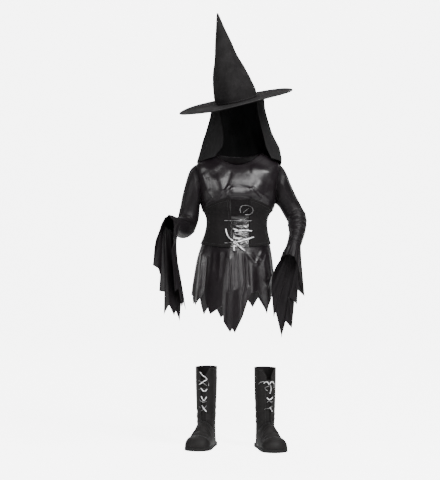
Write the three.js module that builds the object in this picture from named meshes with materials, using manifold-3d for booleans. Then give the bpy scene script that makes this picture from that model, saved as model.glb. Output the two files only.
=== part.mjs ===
// A worn witch costume for a child of about 1.28 m: dress with jagged hems, laced corset belt,
// pointed hat with a veil, and a pair of laced boots. Millimetres, +Z up, front towards -Y, and
// the origin in the middle of the shoulders, where the wearer carries the dress.
import * as THREE from "three";
import { mergeVertices } from "three/addons/utils/BufferGeometryUtils.js";
import Module from "manifold-3d";

const wasm = await Module();
wasm.setup();

// Driving dimensions
const CLOTH = 1.4; // wall of the dress cloth
const STIFF = 1.8; // wall of the corset panels and the boot uppers
const SEAM = 0.3; // between two pieces that are sewn together
const FLOOR = -987; // the height that the boots stand on
const WAIST = -212; // the seam of bodice and skirt, under the corset
const NECK = 34; // height of the neckline at its two side points
const SHOULDER = -6; // height of the sleeve's highest point
const ARMPIT = -142;
const ARMHOLE_STEPS = 6; // bodice and sleeve share these points along half an armhole
const ARMHOLE_IN = 22; // degrees that the armhole is cut in from the side
const CORSET = { topFront: -122, topSide: -166, bottomFront: -293, bottomSide: -280 };
const LACING = { left: -26, right: 38 }; // edges of the strip between the corset's front panels
const LACE = 5.2; // diameter of the corset's lace
const BOOT_LACE = 4.2;
const HAT = { x: -5, y: -8, z: 215, pitch: 10.7, roll: 12.7, brim: 197, wall: 2 };
const VEIL_WALL = 1.2;
const BOOT = { height: 289, dip: 46, sole: 11, toe: 148, seam: 104, slit: 15 };

const rad = THREE.MathUtils.degToRad;
const lerp = THREE.MathUtils.lerp;
const point = (x, y, z) => new THREE.Vector3(x, y, z);

// Rows of numbers under named columns.
function table(names, ...rows) {
  const columns = names.split(" ");
  return rows.map((row) => Object.fromEntries(columns.map((name, i) => [name, row[i]])));
}

// All columns at one value of the first, on smooth curves through the rows.
function smooth(rows, value) {
  const [key, ...columns] = Object.keys(rows[0]);
  const up = rows.at(-1)[key] > rows[0][key] ? 1 : -1;
  let i = rows.findIndex((row) => (row[key] - value) * up > 0);
  i = Math.min(Math.max(i < 0 ? rows.length : i, 1), rows.length - 1);
  const [a, b, c, d] = [rows[Math.max(i - 2, 0)], rows[i - 1], rows[i], rows[i + 1] ?? rows[i]];
  const span = c[key] - b[key];
  const t = (value - b[key]) / span;
  const inside = Math.min(Math.max(t, 0), 1);
  const out = {};
  for (const name of columns) {
    const m0 = (span * (c[name] - a[name])) / (c[key] - a[key]);
    const m1 = (span * (d[name] - b[name])) / (d[key] - b[key]);
    const s = inside;
    const base =
      b[name] * (2 * s ** 3 - 3 * s ** 2 + 1) +
      m0 * (s ** 3 - 2 * s ** 2 + s) +
      c[name] * (3 * s ** 2 - 2 * s ** 3) +
      m1 * (s ** 3 - s ** 2);
    out[name] = base + (t - inside) * (t < 0 ? m0 : m1);
  }
  return out;
}

// All columns at one value of the first, on straight lines between the rows.
function straight(rows, value) {
  const [key, ...columns] = Object.keys(rows[0]);
  let i = rows.findIndex((row) => row[key] > value);
  i = Math.min(Math.max(i < 0 ? rows.length : i, 1), rows.length - 1);
  const t = (value - rows[i - 1][key]) / (rows[i][key] - rows[i - 1][key]);
  return Object.fromEntries(columns.map((name) => [name, lerp(rows[i - 1][name], rows[i][name], t)]));
}

const steps = (from, to, count) => Array.from({ length: count + 1 }, (_, i) => lerp(from, to, i / count));

function geometry(points, triangles) {
  let volume = 0;
  for (const [a, b, c] of triangles) {
    volume += points[a].dot(points[b].clone().cross(points[c]));
  }
  const facing = volume < 0 ? triangles.map(([a, b, c]) => [a, c, b]) : triangles;
  const shape = new THREE.BufferGeometry();
  shape.setAttribute("position", new THREE.Float32BufferAttribute(points.flatMap((p) => p.toArray()), 3));
  shape.setIndex(facing.flat());
  return shape;
}

// A closed thin wall. surface(u, v) gives its outer skin, and inside is a point on its inner side.
// A round wall closes on itself along u, and a tipped one ends in a point at its last v.
function wall(surface, us, vs, thick, inside, { round = false, tip = false } = {}) {
  const du = 1e-3 * (us.at(-1) - us[0]);
  const dv = 1e-3 * (vs.at(-1) - vs[0]);
  const rows = vs.map((v) =>
    us.map((u) => {
      const across = surface(u + du, v).sub(surface(u - du, v));
      const along = surface(u, v + dv).sub(surface(u, v - dv));
      return { at: surface(u, v), normal: across.cross(along).normalize() };
    }),
  );
  let facing = 0;
  for (const row of rows) {
    const middle = inside ?? row.reduce((sum, p) => sum.add(p.at), point(0, 0, 0)).divideScalar(row.length);
    for (const p of row) facing += p.normal.dot(p.at.clone().sub(middle));
  }
  const depth = facing > 0 ? thick : -thick;
  const count = round ? us.length - 1 : us.length;
  const points = [];
  for (const row of rows) for (const p of row.slice(0, count)) points.push(p.at);
  for (const row of rows) {
    for (const p of row.slice(0, count)) points.push(p.at.clone().addScaledVector(p.normal, -depth));
  }
  const skin = rows.length * count;
  const index = (i, j, layer) => layer * skin + i * count + (j % count);
  const triangles = [];
  const quad = (a, b, c, d) => triangles.push([a, b, c], [a, c, d]);
  for (let i = 0; i < rows.length - 1; i++) {
    for (let j = 0; j < us.length - 1; j++) {
      quad(index(i, j, 0), index(i, j + 1, 0), index(i + 1, j + 1, 0), index(i + 1, j, 0));
      quad(index(i, j, 1), index(i + 1, j, 1), index(i + 1, j + 1, 1), index(i, j + 1, 1));
    }
  }
  const last = rows.length - 1;
  for (let j = 0; j < us.length - 1; j++) {
    quad(index(0, j, 0), index(0, j, 1), index(0, j + 1, 1), index(0, j + 1, 0));
    if (!tip) quad(index(last, j, 0), index(last, j + 1, 0), index(last, j + 1, 1), index(last, j, 1));
  }
  if (!round) {
    const end = us.length - 1;
    for (let i = 0; i < last; i++) {
      quad(index(i, 0, 0), index(i + 1, 0, 0), index(i + 1, 0, 1), index(i, 0, 1));
      quad(index(i, end, 0), index(i, end, 1), index(i + 1, end, 1), index(i + 1, end, 0));
    }
  }
  if (tip) {
    for (const layer of [0, 1]) {
      const top = point(0, 0, 0);
      for (let j = 0; j < count; j++) top.add(points[index(last, j, layer)]);
      points.push(top.divideScalar(count));
      for (let j = 0; j < count; j++) {
        const fan = [points.length - 1, index(last, j, layer), index(last, j + 1, layer)];
        triangles.push(layer ? [fan[0], fan[2], fan[1]] : fan);
      }
    }
  }
  return geometry(points, triangles);
}

// A round cord through a list of points.
function cord(path, diameter, count) {
  const section = new THREE.Shape();
  const sides = 8;
  for (let k = 0; k < sides; k++) {
    const angle = (k / sides) * 2 * Math.PI;
    const [x, y] = [(diameter / 2) * Math.cos(angle), (diameter / 2) * Math.sin(angle)];
    if (k) section.lineTo(x, y);
    else section.moveTo(x, y);
  }
  section.closePath();
  const curve = new THREE.CatmullRomCurve3(path, false, "centripetal");
  return new THREE.ExtrudeGeometry(section, { steps: count, extrudePath: curve, bevelEnabled: false });
}

// One solid from several that cross.
function joined(...shapes) {
  const solids = shapes.map((shape) => {
    const bare = shape.clone();
    bare.deleteAttribute("normal");
    bare.deleteAttribute("uv");
    const merged = mergeVertices(bare);
    const vertProperties = new Float32Array(merged.attributes.position.array);
    const triVerts = new Uint32Array(merged.index.array);
    return new wasm.Manifold(new wasm.Mesh({ numProp: 3, vertProperties, triVerts }));
  });
  const mesh = solids.reduce((sum, next) => sum.add(next)).getMesh();
  const shape = new THREE.BufferGeometry();
  shape.setAttribute("position", new THREE.Float32BufferAttribute(mesh.vertProperties, 3));
  shape.setIndex([...mesh.triVerts]);
  return shape;
}

const MATERIALS = {
  satin: new THREE.MeshStandardMaterial({ color: 0x121013, roughness: 0.35 }),
  matte: new THREE.MeshStandardMaterial({ color: 0x0d0c0d, roughness: 0.8 }),
  felt: new THREE.MeshStandardMaterial({ color: 0x141414, roughness: 0.95 }),
  veil: new THREE.MeshStandardMaterial({ color: 0x101010, roughness: 0.9 }),
  leather: new THREE.MeshStandardMaterial({ color: 0x171516, roughness: 0.5 }),
  rubber: new THREE.MeshStandardMaterial({ color: 0x0a0a0a, roughness: 0.85 }),
  silver: new THREE.MeshStandardMaterial({ color: 0xd8d8dc, roughness: 0.35, metalness: 0.6 }),
};

const costume = new THREE.Group();

function add(name, shape, material, group = costume) {
  const mesh = new THREE.Mesh(shape, MATERIALS[material]);
  mesh.name = name;
  group.add(mesh);
  return mesh;
}

// The dress's rings from the neckline to the hem. z is the ring's height at its sides, and dip and
// rise are how far it lies lower in the middle of the front and of the back.
const RINGS = table(
  "z mid half front back dip rise",
  [34, -2, 84, 48, 50, 44, 12],
  [17, -1, 116, 60, 62, 41, 14],
  [-6, 0, 143, 73, 73, 36, 14],
  [-45, 0, 145, 86, 82, 22, 8],
  [-95, 0, 138, 95, 84, 5, 0],
  [-130, 0, 131, 94, 80, 0, 0],
  [-158, -1, 125, 86, 75, 0, 0],
  [-174, -2, 112, 78, 70, 0, 0],
  [-190, -3, 105, 73, 67, 0, 0],
  [-212, -4, 103, 72, 67, 0, 0],
  [-245, -5, 108, 77, 76, 0, 0],
  [-284, -8, 119, 86, 90, 0, 0],
  [-330, -11, 129, 95, 101, 0, 0],
  [-390, -13, 136, 103, 108, 0, 0],
  [-450, -15, 141, 109, 113, 0, 0],
  [-600, -19, 151, 121, 125, 0, 0],
);

// A point of the dress at an angle from the middle of the front (90 is the image's right side),
// moved out from the cloth by lift.
function dress(angle, z, lift = 0) {
  const ring = smooth(RINGS, z);
  const [s, c] = [Math.sin(rad(angle)), Math.cos(rad(angle))];
  const depth = c > 0 ? ring.front : ring.back;
  const out = point(s / ring.half, -c / depth, 0).normalize().multiplyScalar(lift);
  const lower = (c > 0 ? ring.dip : ring.rise) * c * c;
  return point(ring.mid + ring.half * s, -depth * c, z - lower).add(out);
}

// The angle of the dress's front at a distance from the middle.
function angleAt(x, z) {
  const ring = smooth(RINGS, z);
  return THREE.MathUtils.radToDeg(Math.asin((x - ring.mid) / ring.half));
}

// Bodice

// The bodice's edge angle: the side seam, the armhole and the shoulder seam.
function edgeAngle(z) {
  const t = (z - ARMPIT) / (SHOULDER - ARMPIT);
  return t > 0 && t < 1 ? 90 - ARMHOLE_IN * Math.sin(Math.PI * t) ** 0.8 : 90;
}

const bodiceLevels = [
  ...steps(WAIST, ARMPIT, 6),
  ...steps(ARMPIT, SHOULDER, ARMHOLE_STEPS).slice(1),
  ...steps(SHOULDER, NECK, 2).slice(1),
];
const CREASES = table(
  "angle z width length height lean",
  [-13, -94, 6, 16, 2.4, -0.25],
  [14, -92, 6, 16, 2.4, 0.3],
);

// The soft ridges that the belt pulls into the bodice's front.
function creases(angle, z) {
  let out = 0;
  for (const crease of CREASES) {
    const across = (angle - crease.angle + (z - crease.z) * crease.lean) / crease.width;
    const along = (z - crease.z) / crease.length;
    out += crease.height * Math.exp(-(across ** 2) - along ** 2);
  }
  return out;
}

// Half of the seam's gap, as an angle of the ring.
const seamAngle = (z) => THREE.MathUtils.radToDeg(SEAM / 2 / smooth(RINGS, z).front);

function bodice(middle) {
  const surface = (u, z) => {
    const angle = middle + u * (edgeAngle(z) - seamAngle(z));
    return dress(angle, z, middle === 0 ? creases(angle, z) : 0);
  };
  return wall(surface, steps(-1, 1, 12), bodiceLevels, CLOTH, point(0, 0, -100));
}

add("bodice_front", bodice(0), "satin");
add("bodice_back", bodice(180), "satin");

// Sleeves. Each row is a ring of the sleeve: its outer and inner side as seen from the front, and
// half its depth across them.
const RIGHT_SLEEVE = table(
  "v ox oy oz ix iy iz deep",
  [0, -150, 3, -8, -129, 3, -146, 46],
  [1, -164, 3, -20, -131, 3, -149, 48],
  [2, -177, 2, -58, -131, 1, -153, 45],
  [3, -188, 0, -98, -132, -1, -162, 41],
  [4, -197, -3, -138, -133, -3, -176, 38],
  [5, -203, -9, -168, -136, -5, -198, 37],
  [6, -209, -20, -196, -145, -14, -226, 40],
  [7, -219, -46, -208, -153, -40, -240, 39],
  [8, -229, -84, -207, -166, -78, -237, 31],
  [9, -243, -128, -201, -186, -122, -227, 25],
  [10, -253, -160, -195, -200, -155, -219, 23],
);
const LEFT_SLEEVE = table(
  "v ox oy oz ix iy iz deep",
  [0, 152, 3, -8, 132, 3, -142, 46],
  [1, 164, 4, -24, 134, 4, -144, 47],
  [2, 178, 5, -66, 138, 4, -148, 43],
  [3, 194, 6, -102, 145, 4, -156, 39],
  [4, 209, 6, -132, 153, 3, -170, 36],
  [5, 224, 4, -158, 163, 0, -188, 35],
  [6, 235, -8, -184, 171, -12, -204, 37],
  [7, 235, -34, -212, 172, -38, -224, 34],
  [8, 229, -62, -240, 173, -66, -246, 29],
  [9, 219, -90, -268, 167, -94, -272, 27],
  [10, 208, -116, -296, 158, -118, -298, 26],
);

const RING_STEP = 0.3; // share of a row that a sleeve's direction is taken over

function sleeveRing(rows, side, angle, v) {
  const ring = smooth(rows, v);
  const [before, after] = [smooth(rows, v - RING_STEP), smooth(rows, v + RING_STEP)];
  const middle = (row) => point(row.ox + row.ix, row.oy + row.iy, row.oz + row.iz).multiplyScalar(0.5);
  const outward = point(ring.ox - ring.ix, ring.oy - ring.iy, ring.oz - ring.iz).multiplyScalar(0.5);
  const along = middle(after).sub(middle(before)).normalize();
  const deep = outward.clone().cross(along).normalize().multiplyScalar(-side * ring.deep);
  const turn = rad(angle);
  return middle(ring).addScaledVector(outward, -Math.cos(turn)).addScaledVector(deep, Math.sin(turn));
}

// The armhole's seam on the bodice, from the armpit round the front to the shoulder and back.
function armhole(side, angle) {
  const turn = ((angle % 360) + 360) % 360;
  const front = turn <= 180;
  const t = front ? turn / 180 : 2 - turn / 180;
  const z = lerp(ARMPIT, SHOULDER, t);
  const edge = edgeAngle(z);
  return dress(side * (front ? edge : 180 - edge), z).add(point(side * SEAM * 1.5, 0, 0));
}

const SLEEVE_TOP = 1.6; // the row up to which the sleeve turns from the armhole's shape to its own
const SLEEVE_END = 9.6; // the row that the sleeve ends at

function sleeve(rows, side, angle, v) {
  const share = THREE.MathUtils.smoothstep(v, 0, SLEEVE_TOP);
  return armhole(side, angle).lerp(sleeveRing(rows, side, angle, Math.max(v, 0)), share);
}

const around = steps(0, 360, 2 * ARMHOLE_STEPS);
const sleeveLevels = [0, 0.5, 1, ...steps(1.8, SLEEVE_END, 8)];
for (const [name, rows, side] of [
  ["right", RIGHT_SLEEVE, -1],
  ["left", LEFT_SLEEVE, 1],
]) {
  const surface = (angle, v) => sleeve(rows, side, angle, v);
  add("sleeve_" + name, wall(surface, around, sleeveLevels, CLOTH, null, { round: true }), "satin");
}

// Hanging cuffs. Each row is a point of the jagged mouth, at its angle round the sleeve's end.
const RIGHT_CUFF = table(
  "angle x y z",
  [0, -222, -204, -300],
  [20, -216, -206, -262],
  [45, -212, -208, -222],
  [68, -219, -209, -196],
  [90, -233, -210, -183],
  [120, -247, -213, -196],
  [145, -259, -214, -226],
  [165, -272, -214, -264],
  [180, -281, -212, -302],
  [192, -287, -210, -350],
  [200, -268, -204, -362],
  [207, -258, -201, -392],
  [215, -263, -199, -436],
  [222, -243, -193, -440],
  [231, -249, -190, -515],
  [240, -233, -180, -484],
  [248, -216, -168, -519],
  [254, -210, -160, -503],
  [263, -198, -148, -538],
  [273, -192, -138, -454],
  [285, -177, -126, -502],
  [297, -181, -146, -462],
  [309, -190, -166, -490],
  [320, -200, -182, -428],
  [333, -212, -194, -438],
  [346, -214, -200, -366],
  [360, -222, -204, -300],
);
const LEFT_CUFF = table(
  "angle x y z",
  [0, 142, -138, -330],
  [30, 146, -150, -322],
  [60, 157, -158, -316],
  [90, 172, -162, -314],
  [115, 188, -157, -324],
  [138, 200, -148, -346],
  [154, 212, -134, -402],
  [163, 203, -129, -404],
  [172, 222, -124, -456],
  [182, 195, -119, -430],
  [192, 198, -117, -484],
  [202, 171, -111, -458],
  [214, 180, -105, -564],
  [226, 160, -98, -542],
  [238, 148, -92, -598],
  [250, 137, -85, -552],
  [263, 127, -80, -512],
  [276, 121, -80, -530],
  [289, 115, -84, -468],
  [304, 112, -91, -440],
  [320, 114, -103, -400],
  [340, 123, -121, -360],
  [360, 142, -138, -330],
);

const CUFF_GAP = 0.03; // the share of a row between the sleeve's end and the cuff
const CUFF_FOLDS = { depth: 5, count: 5, turned: 40 };
const CUFF_SAG = 0.07; // of the drop from the sleeve to the mouth
const CUFF_BEND = 60; // how strongly the cuff first follows the sleeve before it falls

function cuff(rows, sleeveRows, side) {
  const wave = (angle) => CUFF_FOLDS.depth * Math.sin(rad(angle * CUFF_FOLDS.count + CUFF_FOLDS.turned));
  const surface = (angle, v) => {
    const turn = ((angle % 360) + 360) % 360;
    const start = sleeveRing(sleeveRows, side, turn, SLEEVE_END + CUFF_GAP);
    const mouth = straight(rows, turn);
    const end = point(mouth.x, mouth.y, mouth.z);
    const before = sleeveRing(sleeveRows, side, turn, SLEEVE_END - RING_STEP);
    const onward = start.clone().sub(before).normalize();
    const sag = CUFF_SAG * Math.max(start.z - end.z, 0);
    const bend = onward.multiplyScalar(CUFF_BEND * v * (1 - v) ** 3);
    return start.lerp(end, v).add(bend).add(point(0, (sag + wave(turn)) * v * (1 - v), 0));
  };
  const angles = rows.map((row) => row.angle);
  return wall(surface, angles, [0, 0.06, 0.16, 0.35, 0.65, 1], CLOTH, null, { round: true });
}

add("cuff_right", cuff(RIGHT_CUFF, RIGHT_SLEEVE, -1), "satin");
add("cuff_left", cuff(LEFT_CUFF, LEFT_SLEEVE, 1), "satin");

// Skirt. The hem's tips and notches, by angle from the middle of the front.
const FRONT_HEM = table(
  "angle z",
  [-90, -452],
  [-72, -462],
  [-65, -491],
  [-56, -476],
  [-46, -447],
  [-32, -519],
  [-15.5, -490],
  [-13, -543],
  [-3.5, -578],
  [-1, -567],
  [2.5, -581],
  [9, -543],
  [13, -521],
  [19, -475],
  [24, -447],
  [36, -440],
  [50, -498],
  [65, -447],
  [80, -438],
  [90, -452],
);
const BACK_HEM = table(
  "angle z",
  [90, -452],
  [104, -490],
  [114, -462],
  [128, -525],
  [142, -470],
  [152, -505],
  [160, -478],
  [174, -548],
  [186, -512],
  [196, -543],
  [210, -474],
  [222, -530],
  [236, -462],
  [248, -490],
  [258, -458],
  [270, -452],
);
const FOLDS = table(
  "angle width height",
  [-84, 9, 5],
  [-58, 8, 7],
  [-37, 9, 5],
  [-9, 6, 7],
  [8, 6, 6],
  [25, 7, 6],
  [54, 11, 8],
  [80, 8, 5],
  [104, 10, 7],
  [130, 9, 8],
  [155, 9, 6],
  [178, 10, 8],
  [202, 9, 7],
  [226, 10, 8],
  [250, 9, 6],
);

// How far the skirt's folds stand out, growing from the belt to the hem.
function folds(angle, z) {
  const [start, full] = [250, 470];
  const grow = THREE.MathUtils.smoothstep(-z, start, full);
  let out = 0;
  for (const fold of FOLDS) {
    const off = (((angle - fold.angle) % 360) + 540) % 360 - 180;
    out += fold.height * Math.exp(-((off / fold.width) ** 2));
  }
  return out * grow;
}

function skirt(hem) {
  const top = WAIST - SEAM;
  const middle = (hem[0].angle + hem.at(-1).angle) / 2;
  const squeeze = 1 - SEAM / 170; // keeps the side seams' gap
  const surface = (angle, v) => {
    const z = lerp(top, straight(hem, angle).z, v);
    const turned = middle + (angle - middle) * squeeze;
    return dress(turned, z, folds(turned, z));
  };
  const levels = [0, 0.08, 0.17, 0.27, 0.45, 0.7, 1];
  return wall(surface, hem.map((row) => row.angle), levels, CLOTH, point(0, 0, -330));
}

add("skirt_front", skirt(FRONT_HEM), "satin");
add("skirt_back", skirt(BACK_HEM), "satin");

// Corset belt, on the bodice and the skirt
const UNDER = 1.2; // clear of the cloth below, whose flat facets stand out a little at the waist
const BELT_ROWS = [0, 0.08, 0.17, 0.27, 0.38, 0.5, 0.66, 0.83, 1];
const corsetEdge = (front, side, angle) => lerp(side, front, Math.cos(rad(angle)) ** 2);
const corsetTop = (angle) => corsetEdge(CORSET.topFront, CORSET.topSide, angle);
const corsetBottom = (angle) => corsetEdge(CORSET.bottomFront, CORSET.bottomSide, angle);

// The lift of a belt piece's outer skin. Its top and bottom edges stand off a little more.
const EDGE_FLARE = 1.2;
const beltLift = (thick, v = 0.5) => UNDER + thick + EDGE_FLARE * Math.abs(2 * v - 1) ** 3;
const foldLift = (angle, z) => folds(angle, z) + creases(angle, z);

const SIDE_GAP = 0.12; // degrees that each belt piece keeps from the side seam
const insideBelt = point(0, 0, -200);

function corsetPanel(fromX, toX) {
  const surface = (u, v) => {
    const flat = lerp(0, 90, u);
    const z = lerp(corsetTop(flat), corsetBottom(flat), v);
    const from = fromX === null ? -90 + SIDE_GAP : angleAt(fromX, z);
    const to = toX === null ? 90 - SIDE_GAP : angleAt(toX, z);
    const angle = lerp(from, to, u);
    const height = lerp(corsetTop(angle), corsetBottom(angle), v);
    return dress(angle, height, beltLift(STIFF, v) + foldLift(angle, height));
  };
  return wall(surface, steps(0, 1, 8), BELT_ROWS, STIFF, insideBelt);
}

function corsetBack() {
  const surface = (angle, v) => {
    const z = lerp(CORSET.topSide, CORSET.bottomSide, v);
    return dress(angle, z, beltLift(STIFF, v) + folds(angle, z));
  };
  const angles = steps(90 + SIDE_GAP, 270 - SIDE_GAP, 16);
  return wall(surface, angles, BELT_ROWS, STIFF, insideBelt);
}

function corsetStrip() {
  const thick = 1.1;
  const clear = 5 * SEAM;
  const [topIn, bottomIn] = [8, 1]; // from the belt's top and bottom edges
  const surface = (u, v) => {
    const z = lerp(CORSET.topFront - topIn, CORSET.bottomFront + bottomIn, v);
    const x = lerp(LACING.left + clear, LACING.right - clear, u);
    const angle = angleAt(x, z);
    return dress(angle, z, beltLift(thick, v) + foldLift(angle, z));
  };
  return wall(surface, steps(0, 1, 4), BELT_ROWS, thick, insideBelt);
}

add("corset_front_right", corsetPanel(null, LACING.left), "matte");
add("corset_front_left", corsetPanel(LACING.right, null), "matte");
add("corset_back", corsetBack(), "matte");
add("corset_strip", corsetStrip(), "satin");

// The corset's silver lace, as stretches over the panels and the strip
const LACE_ON = beltLift(STIFF) + SEAM + LACE / 2;
const onCorset = (x, z, lift = 0) => {
  const angle = angleAt(x, z);
  return dress(angle, z, LACE_ON + foldLift(angle, z) + lift);
};
const KNOT = { x: -11, z: -275, lift: 4.6, radius: 7 };
const STRETCHES = {
  loop: table(
    "x z lift",
    [8, -175, 0.3],
    [6, -160, 0.3],
    [14, -151, 0.3],
    [30, -150, 0.3],
    [46, -157, 0.5],
    [48, -170, 0.5],
    [38, -180, 1.1],
    [22, -181, 0.8],
  ),
  bar: table("x z lift", [16, -174, 0.3], [26, -166, 0.5], [36, -158, 0.3]),
  row: table(
    "x z lift",
    [-46, -201, 0.8],
    [-20, -201, 0.8],
    [4, -202, 0.5],
    [26, -202, 0.9],
    [46, -201, 0.9],
  ),
  upper_cross: table(
    "x z lift",
    [-12, -238, 0.3],
    [6, -235, 0.3],
    [24, -234.5, 0.3],
    [46, -236, 0.4],
  ),
  lower_cross: table(
    "x z lift",
    [-12, -246, 0.3],
    [4, -249, 0.3],
    [18, -255, 0.3],
    [30, -259, 0.3],
  ),
  end_upper: table(
    "x z lift",
    [-41, -228, 0.7],
    [-38, -243, 0.7],
    [-31, -258, 1.4],
    [-17.2, -269.6, 4.6],
  ),
  end_across: table(
    "x z lift",
    [-3.4, -272.9, 4.6],
    [12, -269, 1.8],
    [32, -263, 1.2],
    [52, -257, 0.8],
  ),
  end_down: table("x z lift", [-11.9, -282.9, 4.6], [-14, -292, 1.8], [-14, -304, 1.2]),
  end_slant: table("x z lift", [-5, -280.3, 4.6], [6, -291, 1.8], [22, -304, 1.4]),
};
for (const [name, stretch] of Object.entries(STRETCHES)) {
  const path = stretch.map(({ x, z, lift }) => onCorset(x, z, lift));
  add("corset_lace_" + name, cord(path, LACE, Math.ceil(1.5 * path.length)), "silver");
}
const knot = add("corset_lace_knot", new THREE.SphereGeometry(KNOT.radius, 8, 6), "silver");
knot.position.copy(onCorset(KNOT.x, KNOT.z, KNOT.lift));
knot.rotation.x = rad(90);

// Hat, built upright round the brim's middle and then tilted
const hat = new THREE.Group();
hat.position.set(HAT.x, HAT.y, HAT.z);
hat.rotation.set(rad(HAT.pitch), rad(-HAT.roll), 0, "YXZ");
costume.add(hat);

const CONE = table(
  "z wide deep shift",
  [0, 71, 88, 0],
  [25, 74, 90, -1],
  [90, 61, 72, -4],
  [158, 39, 45, -4],
  [197, 29, 33, -3],
  [250, 16.5, 18, -2],
  [304, 3, 3.2, 0],
);

function cone(angle, z) {
  const ring = smooth(CONE, z);
  const [s, c] = [Math.sin(rad(angle)), Math.cos(rad(angle))];
  return point(ring.shift + ring.wide * s, -ring.deep * c, z + SEAM);
}

const coneLevels = [0, 12, 25, 57, 90, 124, 158, 197, 250, 304];
const coneWall = wall(cone, steps(0, 360, 20), coneLevels, HAT.wall, null, { round: true, tip: true });
add("hat_cone", coneWall, "felt", hat);

// The brim's height over its middle: soft waves that grow to the rim.
function brimWave(angle, out) {
  const grow = out ** 2;
  return grow * (3 * Math.sin(rad(2 * angle + 20)) + 2.5 * Math.sin(rad(3 * angle + 70)) - 2);
}

function brim(angle, out) {
  const [s, c] = [Math.sin(rad(angle)), Math.cos(rad(angle))];
  const wide = lerp(CONE[0].wide - HAT.wall, HAT.brim, out);
  const deep = lerp(CONE[0].deep - HAT.wall, HAT.brim, out);
  return point(wide * s, -deep * c, brimWave(angle, out));
}

const below = point(0, 0, -500);
const brimWall = wall(brim, steps(0, 360, 32), steps(0, 1, 3), HAT.wall, below, { round: true });
add("hat_brim", brimWall, "felt", hat);

// Veil. Its sections from the brim to the shoulders, open in front by an angle at each side.
const VEIL = table(
  "z mid half front back openRight openLeft",
  [230, 1, 90, 62, 100, 46, 44],
  [180, 1, 94, 62, 104, 44, 45],
  [110, 2, 112, 56, 104, 29, 47],
  [80, 4, 124, 54, 102, 26, 45],
  [52, 8, 135, 52, 100, 28, 42],
  [28, 8, 141, 50, 99, 35, 46],
  [0, 7, 147, 50, 100, 40, 50],
  [-100, 4, 149, 50, 100, 40, 50],
);
const VEIL_HEM = table(
  "angle z",
  [0, 42],
  [20, 30],
  [45, 16],
  [60, 9],
  [75, 3],
  [100, -2],
  [125, -40],
  [150, -84],
  [180, -98],
  [210, -84],
  [235, -40],
  [260, -2],
  [285, 3],
  [300, 9],
  [315, 16],
  [340, 30],
  [360, 42],
);
const VEIL_WAVES = { depth: 2.5, count: 7, start: -170, full: 0 };
const ON_SHOULDER = -2.2; // of the hem, from the height that the bodice's curve gives
const up = point(0, 0, 1).applyEuler(hat.rotation);

// The height of the brim's underside over a point. The wave leaves it this much more room.
const WAVE_ROOM = 0.4;
function underBrim(x, y) {
  const low = HAT.wall + SEAM + WAVE_ROOM;
  return HAT.z - (up.x * (x - HAT.x) + up.y * (y - HAT.y) + low) / up.z;
}

// The height of the bodice's shoulder under a point, or far below where there is none.
function shoulderTop(x, y) {
  const lowest = -60;
  for (let z = NECK; z > lowest; z -= 0.5) {
    const ring = smooth(RINGS, z);
    const s = (x - ring.mid) / ring.half;
    const c = -y / (y < 0 ? ring.front : ring.back);
    if (s * s + c * c < 1) return z - (y < 0 ? ring.dip : ring.rise) * c * c;
  }
  return -Infinity;
}

function veil(u, v) {
  const section = (z) => {
    const ring = smooth(VEIL, z);
    const angle = lerp(-360 + ring.openLeft, -ring.openRight, u);
    const [s, c] = [Math.sin(rad(angle)), Math.cos(rad(angle))];
    const fullness = THREE.MathUtils.smoothstep(-z, VEIL_WAVES.start, VEIL_WAVES.full);
    const wave = VEIL_WAVES.depth * Math.sin(rad(angle * VEIL_WAVES.count)) * fullness;
    const depth = (c > 0 ? ring.front : ring.back) + wave;
    return { at: point(ring.mid + (ring.half + wave) * s, -depth * c, z), angle };
  };
  let top = HAT.z;
  for (let turn = 0; turn < 5; turn++) {
    const { at } = section(top);
    top = underBrim(at.x, at.y);
  }
  const low = straight(VEIL_HEM, -section(0).angle).z;
  const { at } = section(low);
  const inner = 0.97; // the veil's inner skin, as a share of its outer one
  const hem = Math.max(low, shoulderTop(at.x * inner, at.y * inner) + ON_SHOULDER);
  return section(lerp(top, hem, v)).at;
}

add("veil", wall(veil, steps(0, 1, 24), steps(0, 1, 6), VEIL_WALL, point(0, 20, 60)), "veil");

// Boots, each in its own frame: the origin on the floor under the ankle, the toe towards -Y
const SHAFT = table(
  "z half front back",
  [11.5, 29, 46, 51],
  [30, 31, 47, 52],
  [55, 31, 45, 48],
  [85, 31.5, 41, 43],
  [120, 33, 40, 42],
  [170, 35, 42, 46],
  [230, 36.5, 44, 50],
  [290, 37, 45, 51],
);

function shaftPoint(angle, z, lift = 0) {
  const ring = smooth(SHAFT, z);
  const [s, c] = [Math.sin(rad(angle)), Math.cos(rad(angle))];
  const depth = c > 0 ? ring.front : ring.back;
  const out = point(s / ring.half, -c / depth, 0).normalize().multiplyScalar(lift);
  return point(ring.half * s, -depth * c, z).add(out);
}

const forward = (angle) => Math.max(Math.cos(rad(angle)), 0);
const rim = (angle) => BOOT.height - BOOT.dip * forward(angle) ** 10;
const insideShaft = point(0, 0, BOOT.height / 2);

// The shaft's lower edge rises under the vamp, so the foot goes through to the toe.
const shaftFoot = (angle) => BOOT.sole + SEAM + 62 * forward(angle) ** 0.8;

function shaft() {
  const slit = THREE.MathUtils.radToDeg(BOOT.slit / 2 / smooth(SHAFT, BOOT.height / 2).half);
  const surface = (angle, v) => shaftPoint(angle, lerp(shaftFoot(angle), rim(angle), v));
  const half = [slit, 20, 32, 50, 72, 94, 116, 138, 160];
  const angles = [...half, 180, ...half.map((angle) => 360 - angle).reverse()];
  return wall(surface, angles, [0, 0.12, 0.26, 0.42, 0.7, 1], STIFF, insideShaft);
}

function tongue() {
  const under = -STIFF - SEAM - 1.1;
  const [side, low, high] = [38, shaftFoot(0) + 4, rim(0) - 6];
  const surface = (u, v) => shaftPoint(lerp(-side, side, u), lerp(low, high, v), under);
  return wall(surface, steps(0, 1, 4), steps(0, 1, 5), STIFF, insideShaft);
}

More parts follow.
